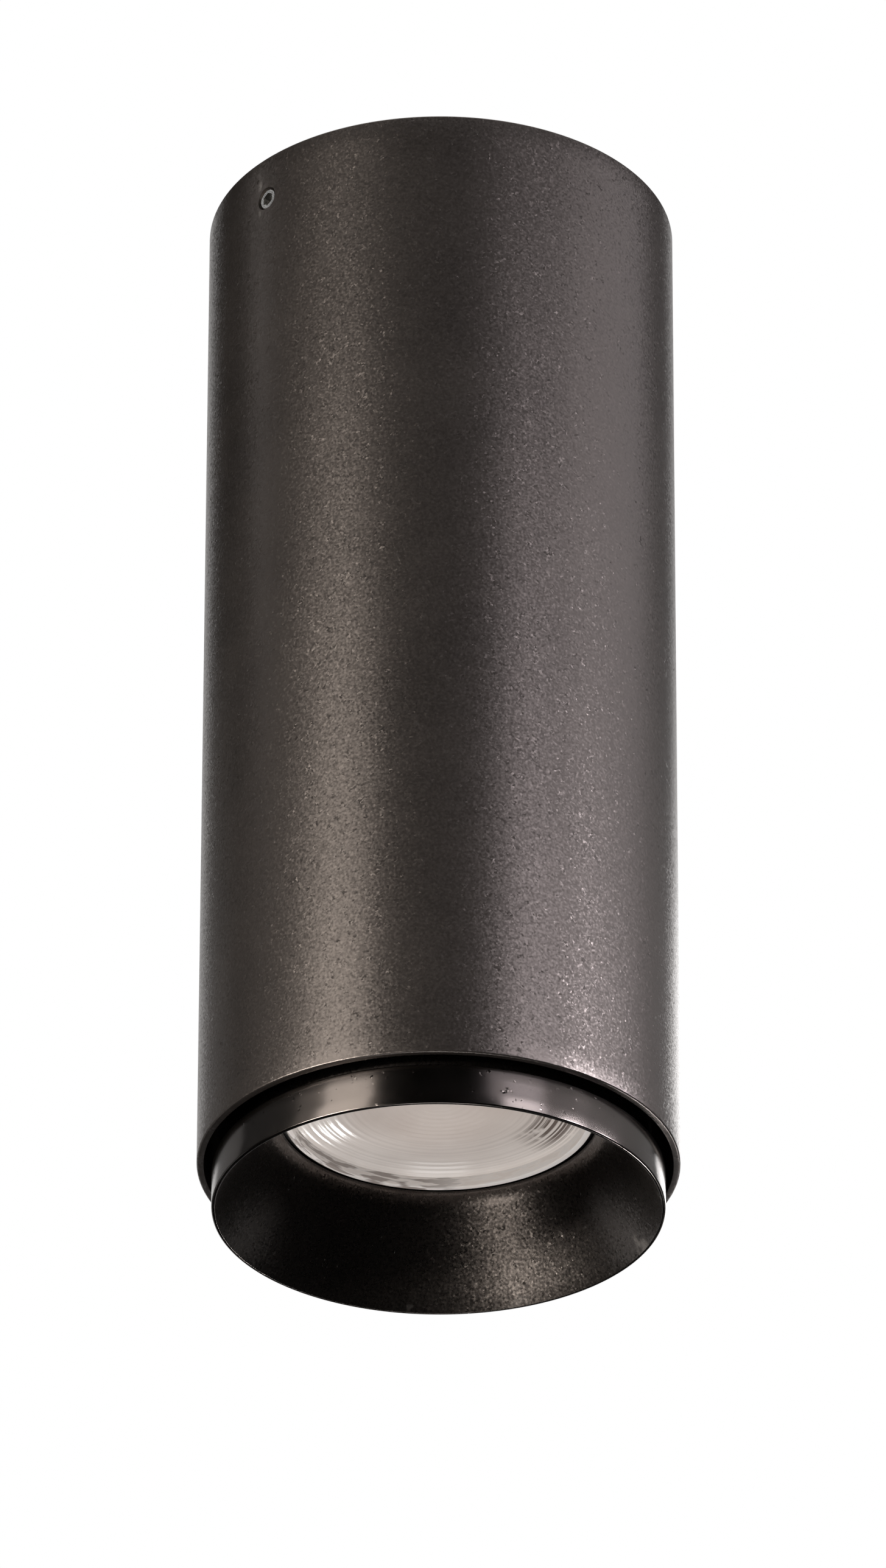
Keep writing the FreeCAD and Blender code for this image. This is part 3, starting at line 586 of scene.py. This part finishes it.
def leaning_inwards(shader, x, y, radius, arcs):
    """A normal that leans towards the part's axis, more so further out, with a ripple for the fine rings."""
    lean = across_lens(shader, radius, 0.49, 1.03, new_high=0.60)
    ripple = shader.span(arcs, *MOST_NOISE, new_low=-0.035, new_high=0.035)
    tilt = shader.product(shader.math("ADD", lean, ripple), -1.0)
    away = shader.joined(shader.math("DIVIDE", x, radius), shader.math("DIVIDE", y, radius))
    normal = shader.node("ShaderNodeNewGeometry").outputs["Normal"]
    leaning = shader.vector("ADD", normal, shader.vector("SCALE", away, tilt))
    return shader.vector("NORMALIZE", leaning)


def lens_plastic(name):
    """The moulded lens: its prisms scatter the light back, so it reads as pale under a clear skin. Its colour
    is painted lighter towards the edge as painted light, with painted shade in the fine rings and, on one
    side, a painted reflection of the dark cone. The clear coat stands for the inner prisms, which lean
    inwards."""
    s = Shader(name)
    radius = radius_of(s)
    x, y, _ = split_place(s)
    cloud = s.noise(LENS_CLOUD)
    arcs = s.bands(radius, LENS_ARC)
    # Painted light: the lens's colour grows lighter towards its edge, as if more light falls there, with a
    # little random cloud.
    painted_light_outwards = across_lens(s, radius, 0.45, 0.90, new_high=0.8)
    painted_light_and_cloud = s.math("ADD", painted_light_outwards, s.span(cloud, *MOST_NOISE, new_high=0.2))
    pale = s.blend(painted_light_and_cloud, LENS_MIDDLE, LENS_PAINTED_LIT_EDGE)
    ring_share = s.product(across_lens(s, radius, 0.3, 0.7, new_high=0.30), s.span(arcs, low=0.45, high=0.70))
    ringed = s.blend(ring_share, pale, LENS_RING_SHADE)
    # Painted reflection: the dark cone's arcs are painted into the lens's colour.
    s.colour(s.blend(painted_cone_reflection(s, x, y, radius, arcs), ringed, LENS_PAINTED_CONE_REFLECTION))
    s.rough(cloud, MOST_NOISE, 0.10, 0.16)
    s.set(IOR=PLASTIC_IOR, Coat_Weight=1.0, Coat_Roughness=0.16, Coat_IOR=1.5)
    s.bump(arcs, LENS_ARC_DEPTH, strength=0.5)
    s.link(leaning_inwards(s, x, y, radius, arcs), s.surface.inputs["Coat Normal"])
    return s.material


def lens_rim_plastic(name):
    """The lens's clear rim and wall, with painted dark dashes, stronger on one side, that stand for the cone
    seen through it, and a faint painted glow.
    """
    s = Shader(name)
    x, y, z = split_place(s)
    along = s.product(s.math("ARCTAN2", y, x), LENS_RADIUS * RIM_DASH_SHARE)
    dashes = s.noise(RIM_DASH, place=s.joined(along, radius_of(s), z))
    clear = s.span(dashes, low=0.40, high=0.60)
    # Painted: the cone's dark dashes, made stronger on one side of the rim.
    painted_side_mask = s.span(x, low=-3 * MM, high=7 * MM, new_low=1.0, new_high=0.2)
    share = s.product(s.span(dashes, low=0.47, high=0.56), painted_side_mask)
    glassy = s.blend(clear, RIM_DULL, RIM_CLEAR)
    s.colour(s.blend(share, glassy, RIM_PAINTED_CONE))
    s.rough(dashes, MOST_NOISE, 0.08, 0.16)
    # The emission is a painted glow, as if the rim were lit from behind.
    s.set(IOR=PLASTIC_IOR, Emission_Strength=0.08, Emission_Color=RIM_PAINTED_GLOW)
    s.bump(dashes, RIM_DASH_DEPTH, strength=0.4)
    return s.material


def bright_steel(name, colour, roughness):
    """Plated or polished steel with cloudy wear and fine scratches."""
    s = Shader(name)
    cloud = s.noise(1.2 * MM, detail=3.0)
    scratch = s.noise(0.2 * MM, roughness=0.7)
    s.colour(s.blend(s.span(cloud, low=0.35, high=0.75), colour, shaded(colour, 0.7)))
    s.rough(scratch, (0.2, 0.8), roughness - 0.08, roughness + 0.10)
    s.set(Metallic=1.0)
    s.bump(scratch, 0.006 * MM, strength=0.5)
    return s.material


def moulded(name, colour, roughness):
    """Moulded or cast material with a fine spark texture and slight mottling."""
    s = Shader(name)
    cloud = s.noise(4 * MM, detail=3.0)
    grain = s.noise(0.35 * MM, roughness=0.6)
    s.colour(s.blend(s.span(cloud, low=0.3, high=0.75), colour, shaded(colour, 0.82)))
    s.rough(grain, WIDE_NOISE, roughness - 0.08, roughness + 0.08)
    s.bump(grain, 0.012 * MM, strength=0.5)
    return s.material


def metal(name, colour, roughness, along=None):
    """Bare metal, with drawn lines along one axis if asked."""
    s = Shader(name)
    cloud = s.noise(3 * MM, detail=3.0)
    s.colour(s.blend(s.span(cloud, low=0.3, high=0.75), colour, shaded(colour, 0.78)))
    s.set(Metallic=1.0)
    if along is None:
        lines = s.noise(0.3 * MM, roughness=0.7)
    else:
        stretch = s.node("ShaderNodeMapping")
        stretch.inputs["Scale"].default_value = along
        s.link(s.place, stretch.inputs["Vector"])
        lines = s.noise(0.25 * MM, place=stretch.outputs["Vector"])
    s.rough(lines, WIDE_NOISE, roughness - 0.07, roughness + 0.10)
    s.bump(lines, 0.008 * MM, strength=0.5)
    return s.material


def board_laminate(name):
    """Solder mask with copper tracks showing through it as lighter lines."""
    s = Shader(name)
    cell = s.node("ShaderNodeTexVoronoi", distance="CHEBYCHEV", feature="DISTANCE_TO_EDGE")
    cell.inputs["Scale"].default_value = 1.0 / TRACK_SIZE
    s.link(s.place, cell.inputs["Vector"])
    track = s.span(cell.outputs["Distance"], low=0.06, high=0.10, new_low=1.0, new_high=0.0)
    s.colour(s.blend(track, MASK_GREEN, TRACK_GREEN))
    s.rough(s.noise(0.6 * MM), MOST_NOISE, 0.28, 0.38)
    s.bump(track, TRACK_DEPTH, strength=0.5)
    return s.material


def dress(node, material):
    """Gives a CAD node its material in every slot."""
    piece = NODES[node]
    if not piece.material_slots:
        piece.data.materials.append(material)
    for slot in piece.material_slots:
        slot.material = material


# ---------------------------------------------------------------- pieces

def make_tube(coat):
    """The housing tube with rounded rims, the stepped mouth and two set-screw holes."""
    outline = rounded([
        (BORE_RADIUS, TUBE_TOP, BORE_ROUND),
        (TUBE_RADIUS, TUBE_TOP, RIM_ROUND),
        (TUBE_RADIUS, TUBE_BOTTOM, RIM_ROUND),
        (MOUTH_RADIUS, TUBE_BOTTOM, MOUTH_ROUND),
        (MOUTH_RADIUS, PLATE_TOP, 0.0),
        (BORE_RADIUS, PLATE_TOP, 0.0),
    ])
    tube = turned("tube_shell", split_long(outline, TUBE_LONGEST_EDGE), TURN_STEPS)
    tools = []
    for name, angle in SCREW_ANGLES.items():
        way = outward(angle)
        place = way * (TUBE_RADIUS - WALL / 2) + Vector((0, 0, SCREW_Z))
        tools.append(cylinder_tool("drill_" + name, SCREW_HOLE_RADIUS, 3 * WALL, lying_along(way, place)))
    drilled(tube, tools)
    surfaced(tube, coat)
    return tube


def make_ports(bare_metal):
    """Three screw ports that stand along the inside of the tube."""
    made = []
    for index, angle in enumerate(PORT_ANGLES):
        outline = rounded([
            (PORT_HOLE_RADIUS, PORT_TOP, PORT_ROUND),
            (PORT_RADIUS, PORT_TOP, PORT_ROUND),
            (PORT_RADIUS, PLATE_TOP, 0.0),
            (PORT_HOLE_RADIUS, PLATE_TOP, 0.0),
        ], PORT_ROUND_STEPS)
        port = turned(f"tube_port_{index}", outline, PORT_TURN_STEPS)
        port.data.transform(Matrix.Translation(outward(angle) * PORT_CIRCLE))
        surfaced(port, bare_metal)
        made.append(port)
    return made


def make_set_screw(name, steel):
    """A set screw with a rolled thread, chamfered ends and a hexagon socket."""
    length = SCREW_END - SCREW_TIP
    core = SCREW_RADIUS - SCREW_THREAD_DEPTH
    socket_radius = SCREW_SOCKET / 2 / math.cos(math.pi / HEXAGON_STEPS)
    turns = int((length - 2 * SCREW_CHAMFER) / SCREW_THREAD_PITCH)
    outline = [
        Vector((0.0, 0.0)),
        Vector((core - SCREW_CHAMFER, 0.0)),
        Vector((core, SCREW_CHAMFER)),
    ]
    for turn in range(turns):
        base = SCREW_CHAMFER + turn * SCREW_THREAD_PITCH
        outline.append(Vector((SCREW_RADIUS, base + SCREW_THREAD_PITCH * 0.5)))
        outline.append(Vector((core, base + SCREW_THREAD_PITCH)))
    outline.append(Vector((SCREW_RADIUS, length - SCREW_CHAMFER)))
    outline.append(Vector((SCREW_RADIUS - SCREW_CHAMFER, length)))
    outline.append(Vector((0.0, length)))
    screw = turned(name + "_body", outline, SCREW_TURN_STEPS)
    end = Matrix.Translation((0, 0, length))
    socket = cylinder_tool("socket_" + name, socket_radius, 2 * SCREW_SOCKET_DEPTH, end, HEXAGON_STEPS)
    drilled(screw, [socket])
    way = outward(SCREW_ANGLES[name])
    screw.data.transform(lying_along(way, way * SCREW_TIP + Vector((0, 0, SCREW_Z))))
    surfaced(screw, steel)
    return screw


def make_glare_ring(satin, textured):
    """The ring in one piece: satin band outside, textured neck and cone."""
    lip_radius = RING_RADIUS - RING_EDGE - RING_LIP
    outline = rounded([
        (RING_BORE_RADIUS, RING_TOP, RING_BORE_ROUND),
        (NECK_RADIUS, RING_TOP, NECK_ROUND),
        (NECK_RADIUS, BAND_TOP, 0.0),
        (RING_RADIUS, BAND_TOP, BAND_TOP_ROUND),
        (RING_RADIUS, RING_BOTTOM, BAND_BOTTOM_ROUND),
        (lip_radius, RING_BOTTOM, LIP_ROUND),
        (RING_BORE_RADIUS, RING_TOP - RING_LAND, 0.0),
    ])
    ring = turned("glare_ring_body", split_long(outline, RING_LONGEST_EDGE), TURN_STEPS)
    depth = 2 * (MAGNET_HIGH.z - MAGNET_LOW.z)
    tools = []
    for index, angle in enumerate(MAGNET_ANGLES):
        place = outward(angle) * MAGNET_CIRCLE + Vector((0, 0, MAGNET_HIGH.z))
        tools.append(cylinder_tool(f"pocket_{index}", MAGNET_POCKET_RADIUS, depth, Matrix.Translation(place)))
    drilled(ring, tools)
    surfaced(ring, satin, textured)
    for face in ring.data.polygons:
        outside = distance_out(face) > lip_radius + LIP_MARGIN
        on_band = outside and face.center.z < BAND_TOP + BAND_MARGIN
        face.material_index = 0 if on_band else 1
    return ring


def make_lens(plastic, rim):
    """The lens: a flat rim, a wall up to a shallow dish of fine rings, and the bell and well behind them."""
    flange_top = LENS_FACE + LENS_BOSS + LENS_FLANGE_THICKNESS
    wall_radius = LENS_RADIUS - LENS_RIM
    dish_edge = LENS_FACE + LENS_STEP
    field = wall_radius - LENS_WALL_DRAFT
    ring_count = round(field / LENS_RING_PITCH)
    outline = rounded([
        (LENS_BASE_RADIUS, flange_top, 0.0),
        (LENS_FLANGE_RADIUS, flange_top, LENS_EDGE_ROUND),
        (LENS_FLANGE_RADIUS, LENS_FACE + LENS_BOSS, LENS_EDGE_ROUND),
        (LENS_RADIUS, LENS_FACE + LENS_BOSS, 0.0),
        (LENS_RADIUS, LENS_FACE, LENS_LIP_ROUND),
        (wall_radius, LENS_FACE, LENS_EDGE_ROUND),
        (field, dish_edge, 0.0),
    ])
    for ring in range(ring_count):
        for step in range(1, LENS_RING_SAMPLES + 1):
            share = step / LENS_RING_SAMPLES
            radius = field - (ring + share) * field / ring_count
            dish = LENS_DISH * (1 - (radius / field) ** 2)
            wave = LENS_RING_DEPTH * radius / field * (1 - math.cos(2 * math.pi * share)) / 2
            outline.append(Vector((max(radius, 0.0), dish_edge + dish + wave)))
    outline.append(Vector((0.0, LENS_TOP - LENS_WELL_DEPTH)))
    outline.append(Vector((LENS_WELL_RADIUS, LENS_TOP - LENS_WELL_DEPTH)))
    outline.append(Vector((LENS_WELL_RADIUS, LENS_TOP)))
    outline.append(Vector((LENS_TOP_RADIUS, LENS_TOP)))
    for step in range(1, LENS_BELL_STEPS):
        share = step / LENS_BELL_STEPS
        radius = LENS_TOP_RADIUS + (LENS_BASE_RADIUS - LENS_TOP_RADIUS) * share ** LENS_BELL_CURVE
        outline.append(Vector((radius, LENS_TOP + (flange_top - LENS_TOP) * share)))
    lens = turned("lens_body", outline, LENS_TURN_STEPS)
    surfaced(lens, plastic, rim, sharp=LENS_SHARP_ANGLE)
    for face in lens.data.polygons:
        low = face.center.z < LENS_FACE + LENS_STEP * LENS_WALL_SHARE
        on_rim = low and distance_out(face) > field - LENS_WALL_MARGIN
        face.material_index = 1 if on_rim else 0
    return lens


# ---------------------------------------------------------------- putting it together

DRAWN_UPRIGHT = (1.0, 1.0, 0.04)

TUBE_COAT = powder_coat("tube_powder_coat", specular=0.80, roughness=0.33, pebble_tilt=0.24, flake_tilt=0.25)
# The cone's coat is the tube's coat with painted shade: its colours darkened to 0.08, for the shade inside
# the ring.
SHADED_CONE_COAT = powder_coat("cone_powder_coat_painted_shade", specular=0.80, roughness=0.29, pebble_tilt=0.25, flake_tilt=0.22,
                        painted_shade_factor=0.08)
CUP_COAT = powder_coat("cup_powder_coat", specular=0.60, roughness=0.42, pebble_tilt=0.3, flake_tilt=0.2)
RING_SATIN = satin_coat("ring_satin_coat")
LENS_PLASTIC = lens_plastic("lens_plastic")
SCREW_STEEL = bright_steel("set_screw_steel", (0.66, 0.65, 0.63), 0.17)
ZINC = bright_steel("zinc_plated_steel", (0.58, 0.58, 0.56), 0.34)
GALVANISED = metal("galvanised_sheet", (0.50, 0.51, 0.51), 0.42)
SINK_METAL = metal("extruded_aluminium", (0.66, 0.67, 0.68), 0.36, along=DRAWN_UPRIGHT)
BORE_METAL = metal("bare_bore", (0.30, 0.30, 0.31), 0.45, along=DRAWN_UPRIGHT)
BRASS = metal("drawn_brass", (0.68, 0.50, 0.22), 0.30)
COPPER = metal("enamelled_copper", (0.55, 0.25, 0.11), 0.30)
NICKEL = metal("nickel_plate", (0.62, 0.61, 0.58), 0.18)
BLACK_STEEL = metal("blackened_steel", (0.055, 0.054, 0.053), 0.40)

tube = make_tube(TUBE_COAT)
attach(tube, "housing")
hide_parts("housing_tube")
for port in make_ports(BORE_METAL):
    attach(port, "housing")

ring = make_glare_ring(RING_SATIN, SHADED_CONE_COAT)
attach(ring, "glare_ring")
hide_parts("glare_ring")

lens = make_lens(LENS_PLASTIC, lens_rim_plastic("lens_rim_plastic"))
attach(lens, "housing")
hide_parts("lens")

for screw_name in SCREW_ANGLES:
    screw = make_set_screw(screw_name, SCREW_STEEL)
    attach(screw, screw_name)
    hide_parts(screw_name)

for node, material in {
    "ceiling_cup": CUP_COAT,
    "cable_grommet": moulded("grommet_rubber", (0.022, 0.022, 0.021), 0.62),
    "heat_sink": SINK_METAL,
    "sink_plate": SINK_METAL,
    "core_screws": ZINC,
    "sink_screws": ZINC,
    "driver_bracket": GALVANISED,
    "bracket_screws": ZINC,
    "terminal_block": moulded("block_nylon", (0.72, 0.70, 0.62), 0.45),
    "terminal_tunnels": BRASS,
    "terminal_screws": ZINC,
    "block_screws": ZINC,
    "earth_screw": ZINC,
    "earth_lug": BRASS,
    "driver_case": moulded("driver_case_plastic", (0.74, 0.74, 0.71), 0.42),
    "driver_lid": moulded("driver_lid_plastic", (0.76, 0.76, 0.73), 0.42),
    "driver_screws": ZINC,
    "driver_board": board_laminate("board_laminate"),
    "driver_transformer": moulded("transformer_tape", (0.66, 0.46, 0.07), 0.38),
    "driver_capacitors": moulded("capacitor_sleeve", (0.03, 0.035, 0.06), 0.28),
    "driver_coil": COPPER,
    "live_lead": moulded("lead_brown", (0.12, 0.045, 0.018), 0.35),
    "neutral_lead": moulded("lead_blue", (0.02, 0.07, 0.33), 0.35),
    "earth_lead": moulded("lead_green", (0.10, 0.28, 0.02), 0.35),
    "led_lead_minus": moulded("lead_black", (0.012, 0.012, 0.012), 0.35),
    "led_lead_plus": moulded("lead_red", (0.40, 0.015, 0.010), 0.35),
    "thermal_pad": moulded("thermal_graphite", (0.06, 0.06, 0.065), 0.40),
    "led_substrate": moulded("led_base", (0.78, 0.78, 0.74), 0.30),
    "led_phosphor": moulded("led_phosphor", (0.80, 0.60, 0.06), 0.30),
    "led_holder": moulded("holder_white", (0.78, 0.78, 0.75), 0.40),
    "led_holder_screws": ZINC,
    "lens_holder": moulded("holder_black", (0.014, 0.014, 0.014), 0.45),
    "keeper_ring": BLACK_STEEL,
    "optic_screws": ZINC,
    "ring_magnets": NICKEL,
}.items():
    dress(node, material)


# ---------------------------------------------------------------- camera

def set_camera():
    """The photograph's view, from below and in front on a long lens, as fitted to the part's outline."""
    distance = 1.60147
    height = TUBE_TOP - 1.02449
    yaw = math.radians(0.0192)
    pitch = math.radians(29.9587)
    roll = math.radians(0.1397)
    data = bpy.data.cameras.new("camera")
    data.sensor_width = 36.0
    data.lens = 268.744
    data.clip_start = 0.05
    data.clip_end = 50.0
    camera = bpy.data.objects.new("camera", data)
    bpy.context.scene.collection.objects.link(camera)
    ahead = Vector((math.sin(yaw) * math.cos(pitch), math.cos(yaw) * math.cos(pitch), math.sin(pitch)))
    level = Vector((math.cos(yaw), -math.sin(yaw), 0.0))
    upward = level.cross(ahead)
    right = math.cos(roll) * level + math.sin(roll) * upward
    up = -math.sin(roll) * level + math.cos(roll) * upward
    turn = Matrix((right, up, -ahead)).transposed().to_4x4()
    camera.matrix_world = Matrix.Translation((0.0, -distance, height)) @ turn
    bpy.context.scene.camera = camera


# ---------------------------------------------------------------- stage and light

LAMP_DISTANCE = 0.7
PLAIN_LIGHT = (1.0, 1.0, 1.0)
WARM_LIGHT = (1.0, 0.955, 0.89)
COOL_LIGHT = (0.99, 0.965, 1.04)


def area_lamp(name, place, aim, width, height, radiance, colour):
    """A rectangular lamp that faces along aim. Its radiance is how bright its face is, whatever its size."""
    data = bpy.data.lights.new(name, "AREA")
    data.shape = "RECTANGLE"
    data.size = width
    data.size_y = height
    data.energy = radiance * math.pi * width * height
    data.color = colour
    light = bpy.data.objects.new(name, data)
    bpy.context.scene.collection.objects.link(light)
    light.matrix_world = Matrix.Translation(place) @ aim.to_track_quat("-Z", "Y").to_matrix().to_4x4()
    light.visible_camera = False


def softbox(name, azimuth, low, high, arc, radiance, colour=PLAIN_LIGHT):
    """An upright softbox facing the part's axis. Azimuth is its place in degrees round the part from the
    front, positive to the right of the view, and arc its width in degrees; low and high are heights."""
    turn = math.radians(azimuth)
    width = 2 * LAMP_DISTANCE * math.tan(math.radians(arc / 2))
    inward = Vector((-math.sin(turn), math.cos(turn), 0.0))
    place = Vector((0.0, 0.0, (low + high) / 2)) - inward * LAMP_DISTANCE
    area_lamp(name, place, inward, width, high - low, radiance, colour)


def underlight(radiance):
    """A square softbox below, which lights the lens."""
    side = 0.32
    place = Vector((0.0, 0.05, -1.1))
    upwards = Vector((0.0, 0.0, 1.0))
    area_lamp("underlight", place, upwards, side, side, radiance, PLAIN_LIGHT)


def pale_to_camera(tree, output_socket, shown, lit):
    """Mixes what lights the object with the white that camera, glossy and transmission rays see."""
    path = tree.nodes.new("ShaderNodeLightPath")
    seen = path.outputs["Is Camera Ray"]
    for kind in ("Is Glossy Ray", "Is Transmission Ray"):
        either = tree.nodes.new("ShaderNodeMath")
        either.operation = "MAXIMUM"
        tree.links.new(seen, either.inputs[0])
        tree.links.new(path.outputs[kind], either.inputs[1])
        seen = either.outputs["Value"]
    mix = tree.nodes.new("ShaderNodeMixShader")
    tree.links.new(seen, mix.inputs["Fac"])
    tree.links.new(lit, mix.inputs[1])
    tree.links.new(shown, mix.inputs[2])
    tree.links.new(mix.outputs["Shader"], output_socket)


def set_world():
    """Soft light from all round, seen as white."""
    world = bpy.data.worlds.new("studio")
    bpy.context.scene.world = world
    world.use_nodes = True
    tree = world.node_tree
    lit = tree.nodes["Background"]
    lit.inputs["Color"].default_value = (0.95, 0.97, 1.0, 1.0)
    lit.inputs["Strength"].default_value = 0.75
    shown = tree.nodes.new("ShaderNodeBackground")
    shown.inputs["Color"].default_value = (1.0, 1.0, 1.0, 1.0)
    shown.inputs["Strength"].default_value = 1.0
    pale_to_camera(tree, tree.nodes["World Output"].inputs["Surface"],
                   shown.outputs["Background"], lit.outputs["Background"])


def set_floor():
    """A pale floor, seen mostly self-lit, far enough below for the camera to pass under the part."""
    half = 14.0
    level = -4.2
    self_lit = 0.88
    mesh = bpy.data.meshes.new("studio_floor")
    corners = [(-half, -half, level), (half, -half, level), (half, half, level), (-half, half, level)]
    mesh.from_pydata(corners, [], [(0, 1, 2, 3)])
    floor = new_object("studio_floor", mesh)
    material = bpy.data.materials.new("studio_floor")
    material.use_nodes = True
    tree = material.node_tree
    surface = tree.nodes["Principled BSDF"]
    surface.inputs["Base Color"].default_value = (0.86, 0.86, 0.86, 1.0)
    surface.inputs["Roughness"].default_value = 0.8
    surface.inputs["Specular IOR Level"].default_value = 0.1
    shadowed = tree.nodes.new("ShaderNodeMixShader")
    white = tree.nodes.new("ShaderNodeEmission")
    white.inputs["Strength"].default_value = 1.0
    shadowed.inputs["Fac"].default_value = self_lit
    tree.links.new(surface.outputs["BSDF"], shadowed.inputs[1])
    tree.links.new(white.outputs["Emission"], shadowed.inputs[2])
    pale_to_camera(tree, tree.nodes["Material Output"].inputs["Surface"],
                   shadowed.outputs["Shader"], surface.outputs["BSDF"])
    mesh.materials.append(material)


def set_flags():
    """Black studio cloth that only reflections see: a disc below the part, and a round wall that goes up past
    the part at the front and sides but stops below it behind."""
    inner = 0.01
    outer = 1.9
    ground = -2.15
    low_top = -0.55
    high_top = 2.6
    left_end = -152
    right_end = 154
    half_turn = 180
    step = 2
    rows = 4
    places = []
    for angle in range(-half_turn, half_turn + 1, step):
        turn = math.radians(angle)
        top = high_top if left_end <= angle <= right_end else low_top
        for out, z in ((inner, ground), (outer, ground), (outer, low_top), (outer, top)):
            places.append((math.sin(turn) * out, -math.cos(turn) * out, z))
    faces = []
    for column, angle in enumerate(range(-half_turn, half_turn, step)):
        first = rows * column
        strips = 3 if left_end <= angle < right_end else 2
        for row in range(first, first + strips):
            faces.append((row, row + rows, row + rows + 1, row + 1))
    mesh = bpy.data.meshes.new("studio_flags")
    mesh.from_pydata(places, [], faces)
    flags = new_object("studio_flags", mesh)
    cloth = Shader("studio_flags")
    cloth.set(Roughness=1.0, Specular_IOR_Level=0.0)
    cloth.surface.inputs["Base Color"].default_value = (0.004, 0.004, 0.004, 1.0)
    mesh.materials.append(cloth.material)
    flags.visible_camera = False
    flags.visible_diffuse = False
    flags.visible_transmission = False
    flags.visible_shadow = False


set_camera()
set_world()
set_floor()
set_flags()

# Most lamps make one band of light each on the tube, the ring or the lens. The fills lift the dark sides.
softbox("left_main", azimuth=-47.5, low=-0.02, high=0.15, arc=27.0, radiance=3.4, colour=WARM_LIGHT)
softbox("left_high", azimuth=-45.5, low=0.15, high=0.26, arc=26.0, radiance=3.0, colour=WARM_LIGHT)
softbox("left_wing", azimuth=-67.0, low=-0.02, high=0.24, arc=14.0, radiance=0.50, colour=WARM_LIGHT)
softbox("left_low", azimuth=-42.0, low=-0.60, high=-0.30, arc=26.0, radiance=3.2, colour=WARM_LIGHT)
softbox("left_lip", azimuth=-53.0, low=-0.280, high=-0.230, arc=28.0, radiance=88.0, colour=WARM_LIGHT)
softbox("left_low_dim", azimuth=-124.0, low=-0.36, high=-0.24, arc=40.0, radiance=0.6)
softbox("left_fill", azimuth=-134.0, low=0.06, high=0.27, arc=36.0, radiance=0.25)
softbox("left_dim", azimuth=-92.0, low=0.06, high=0.25, arc=40.0, radiance=0.07)
softbox("left_kick", azimuth=-98.5, low=0.365, high=0.435, arc=4.5, radiance=3.4)
softbox("right_front", azimuth=42.0, low=0.03, high=0.15, arc=20.0, radiance=6.0, colour=COOL_LIGHT)
softbox("right_high", azimuth=40.0, low=0.13, high=0.32, arc=30.0, radiance=1.0, colour=COOL_LIGHT)
softbox("right_top", azimuth=88.0, low=0.37, high=0.47, arc=56.0, radiance=1.2, colour=COOL_LIGHT)
softbox("right_strip", azimuth=67.0, low=-0.08, high=0.045, arc=8.0, radiance=62.0, colour=COOL_LIGHT)
softbox("right_far_strip", azimuth=86.0, low=-0.08, high=0.045, arc=8.0, radiance=37.0, colour=COOL_LIGHT)
softbox("right_low", azimuth=122.0, low=-0.34, high=-0.24, arc=34.0, radiance=0.25)
softbox("right_fill", azimuth=98.0, low=0.10, high=0.42, arc=80.0, radiance=0.33)
softbox("right_rim", azimuth=158.5, low=-0.04, high=0.26, arc=31.0, radiance=2.7)
softbox("lens_glint", azimuth=152.3, low=-0.82, high=-0.66, arc=8.0, radiance=44.0)
underlight(3.8)
bpy.context.scene.view_settings.view_transform = "Standard"
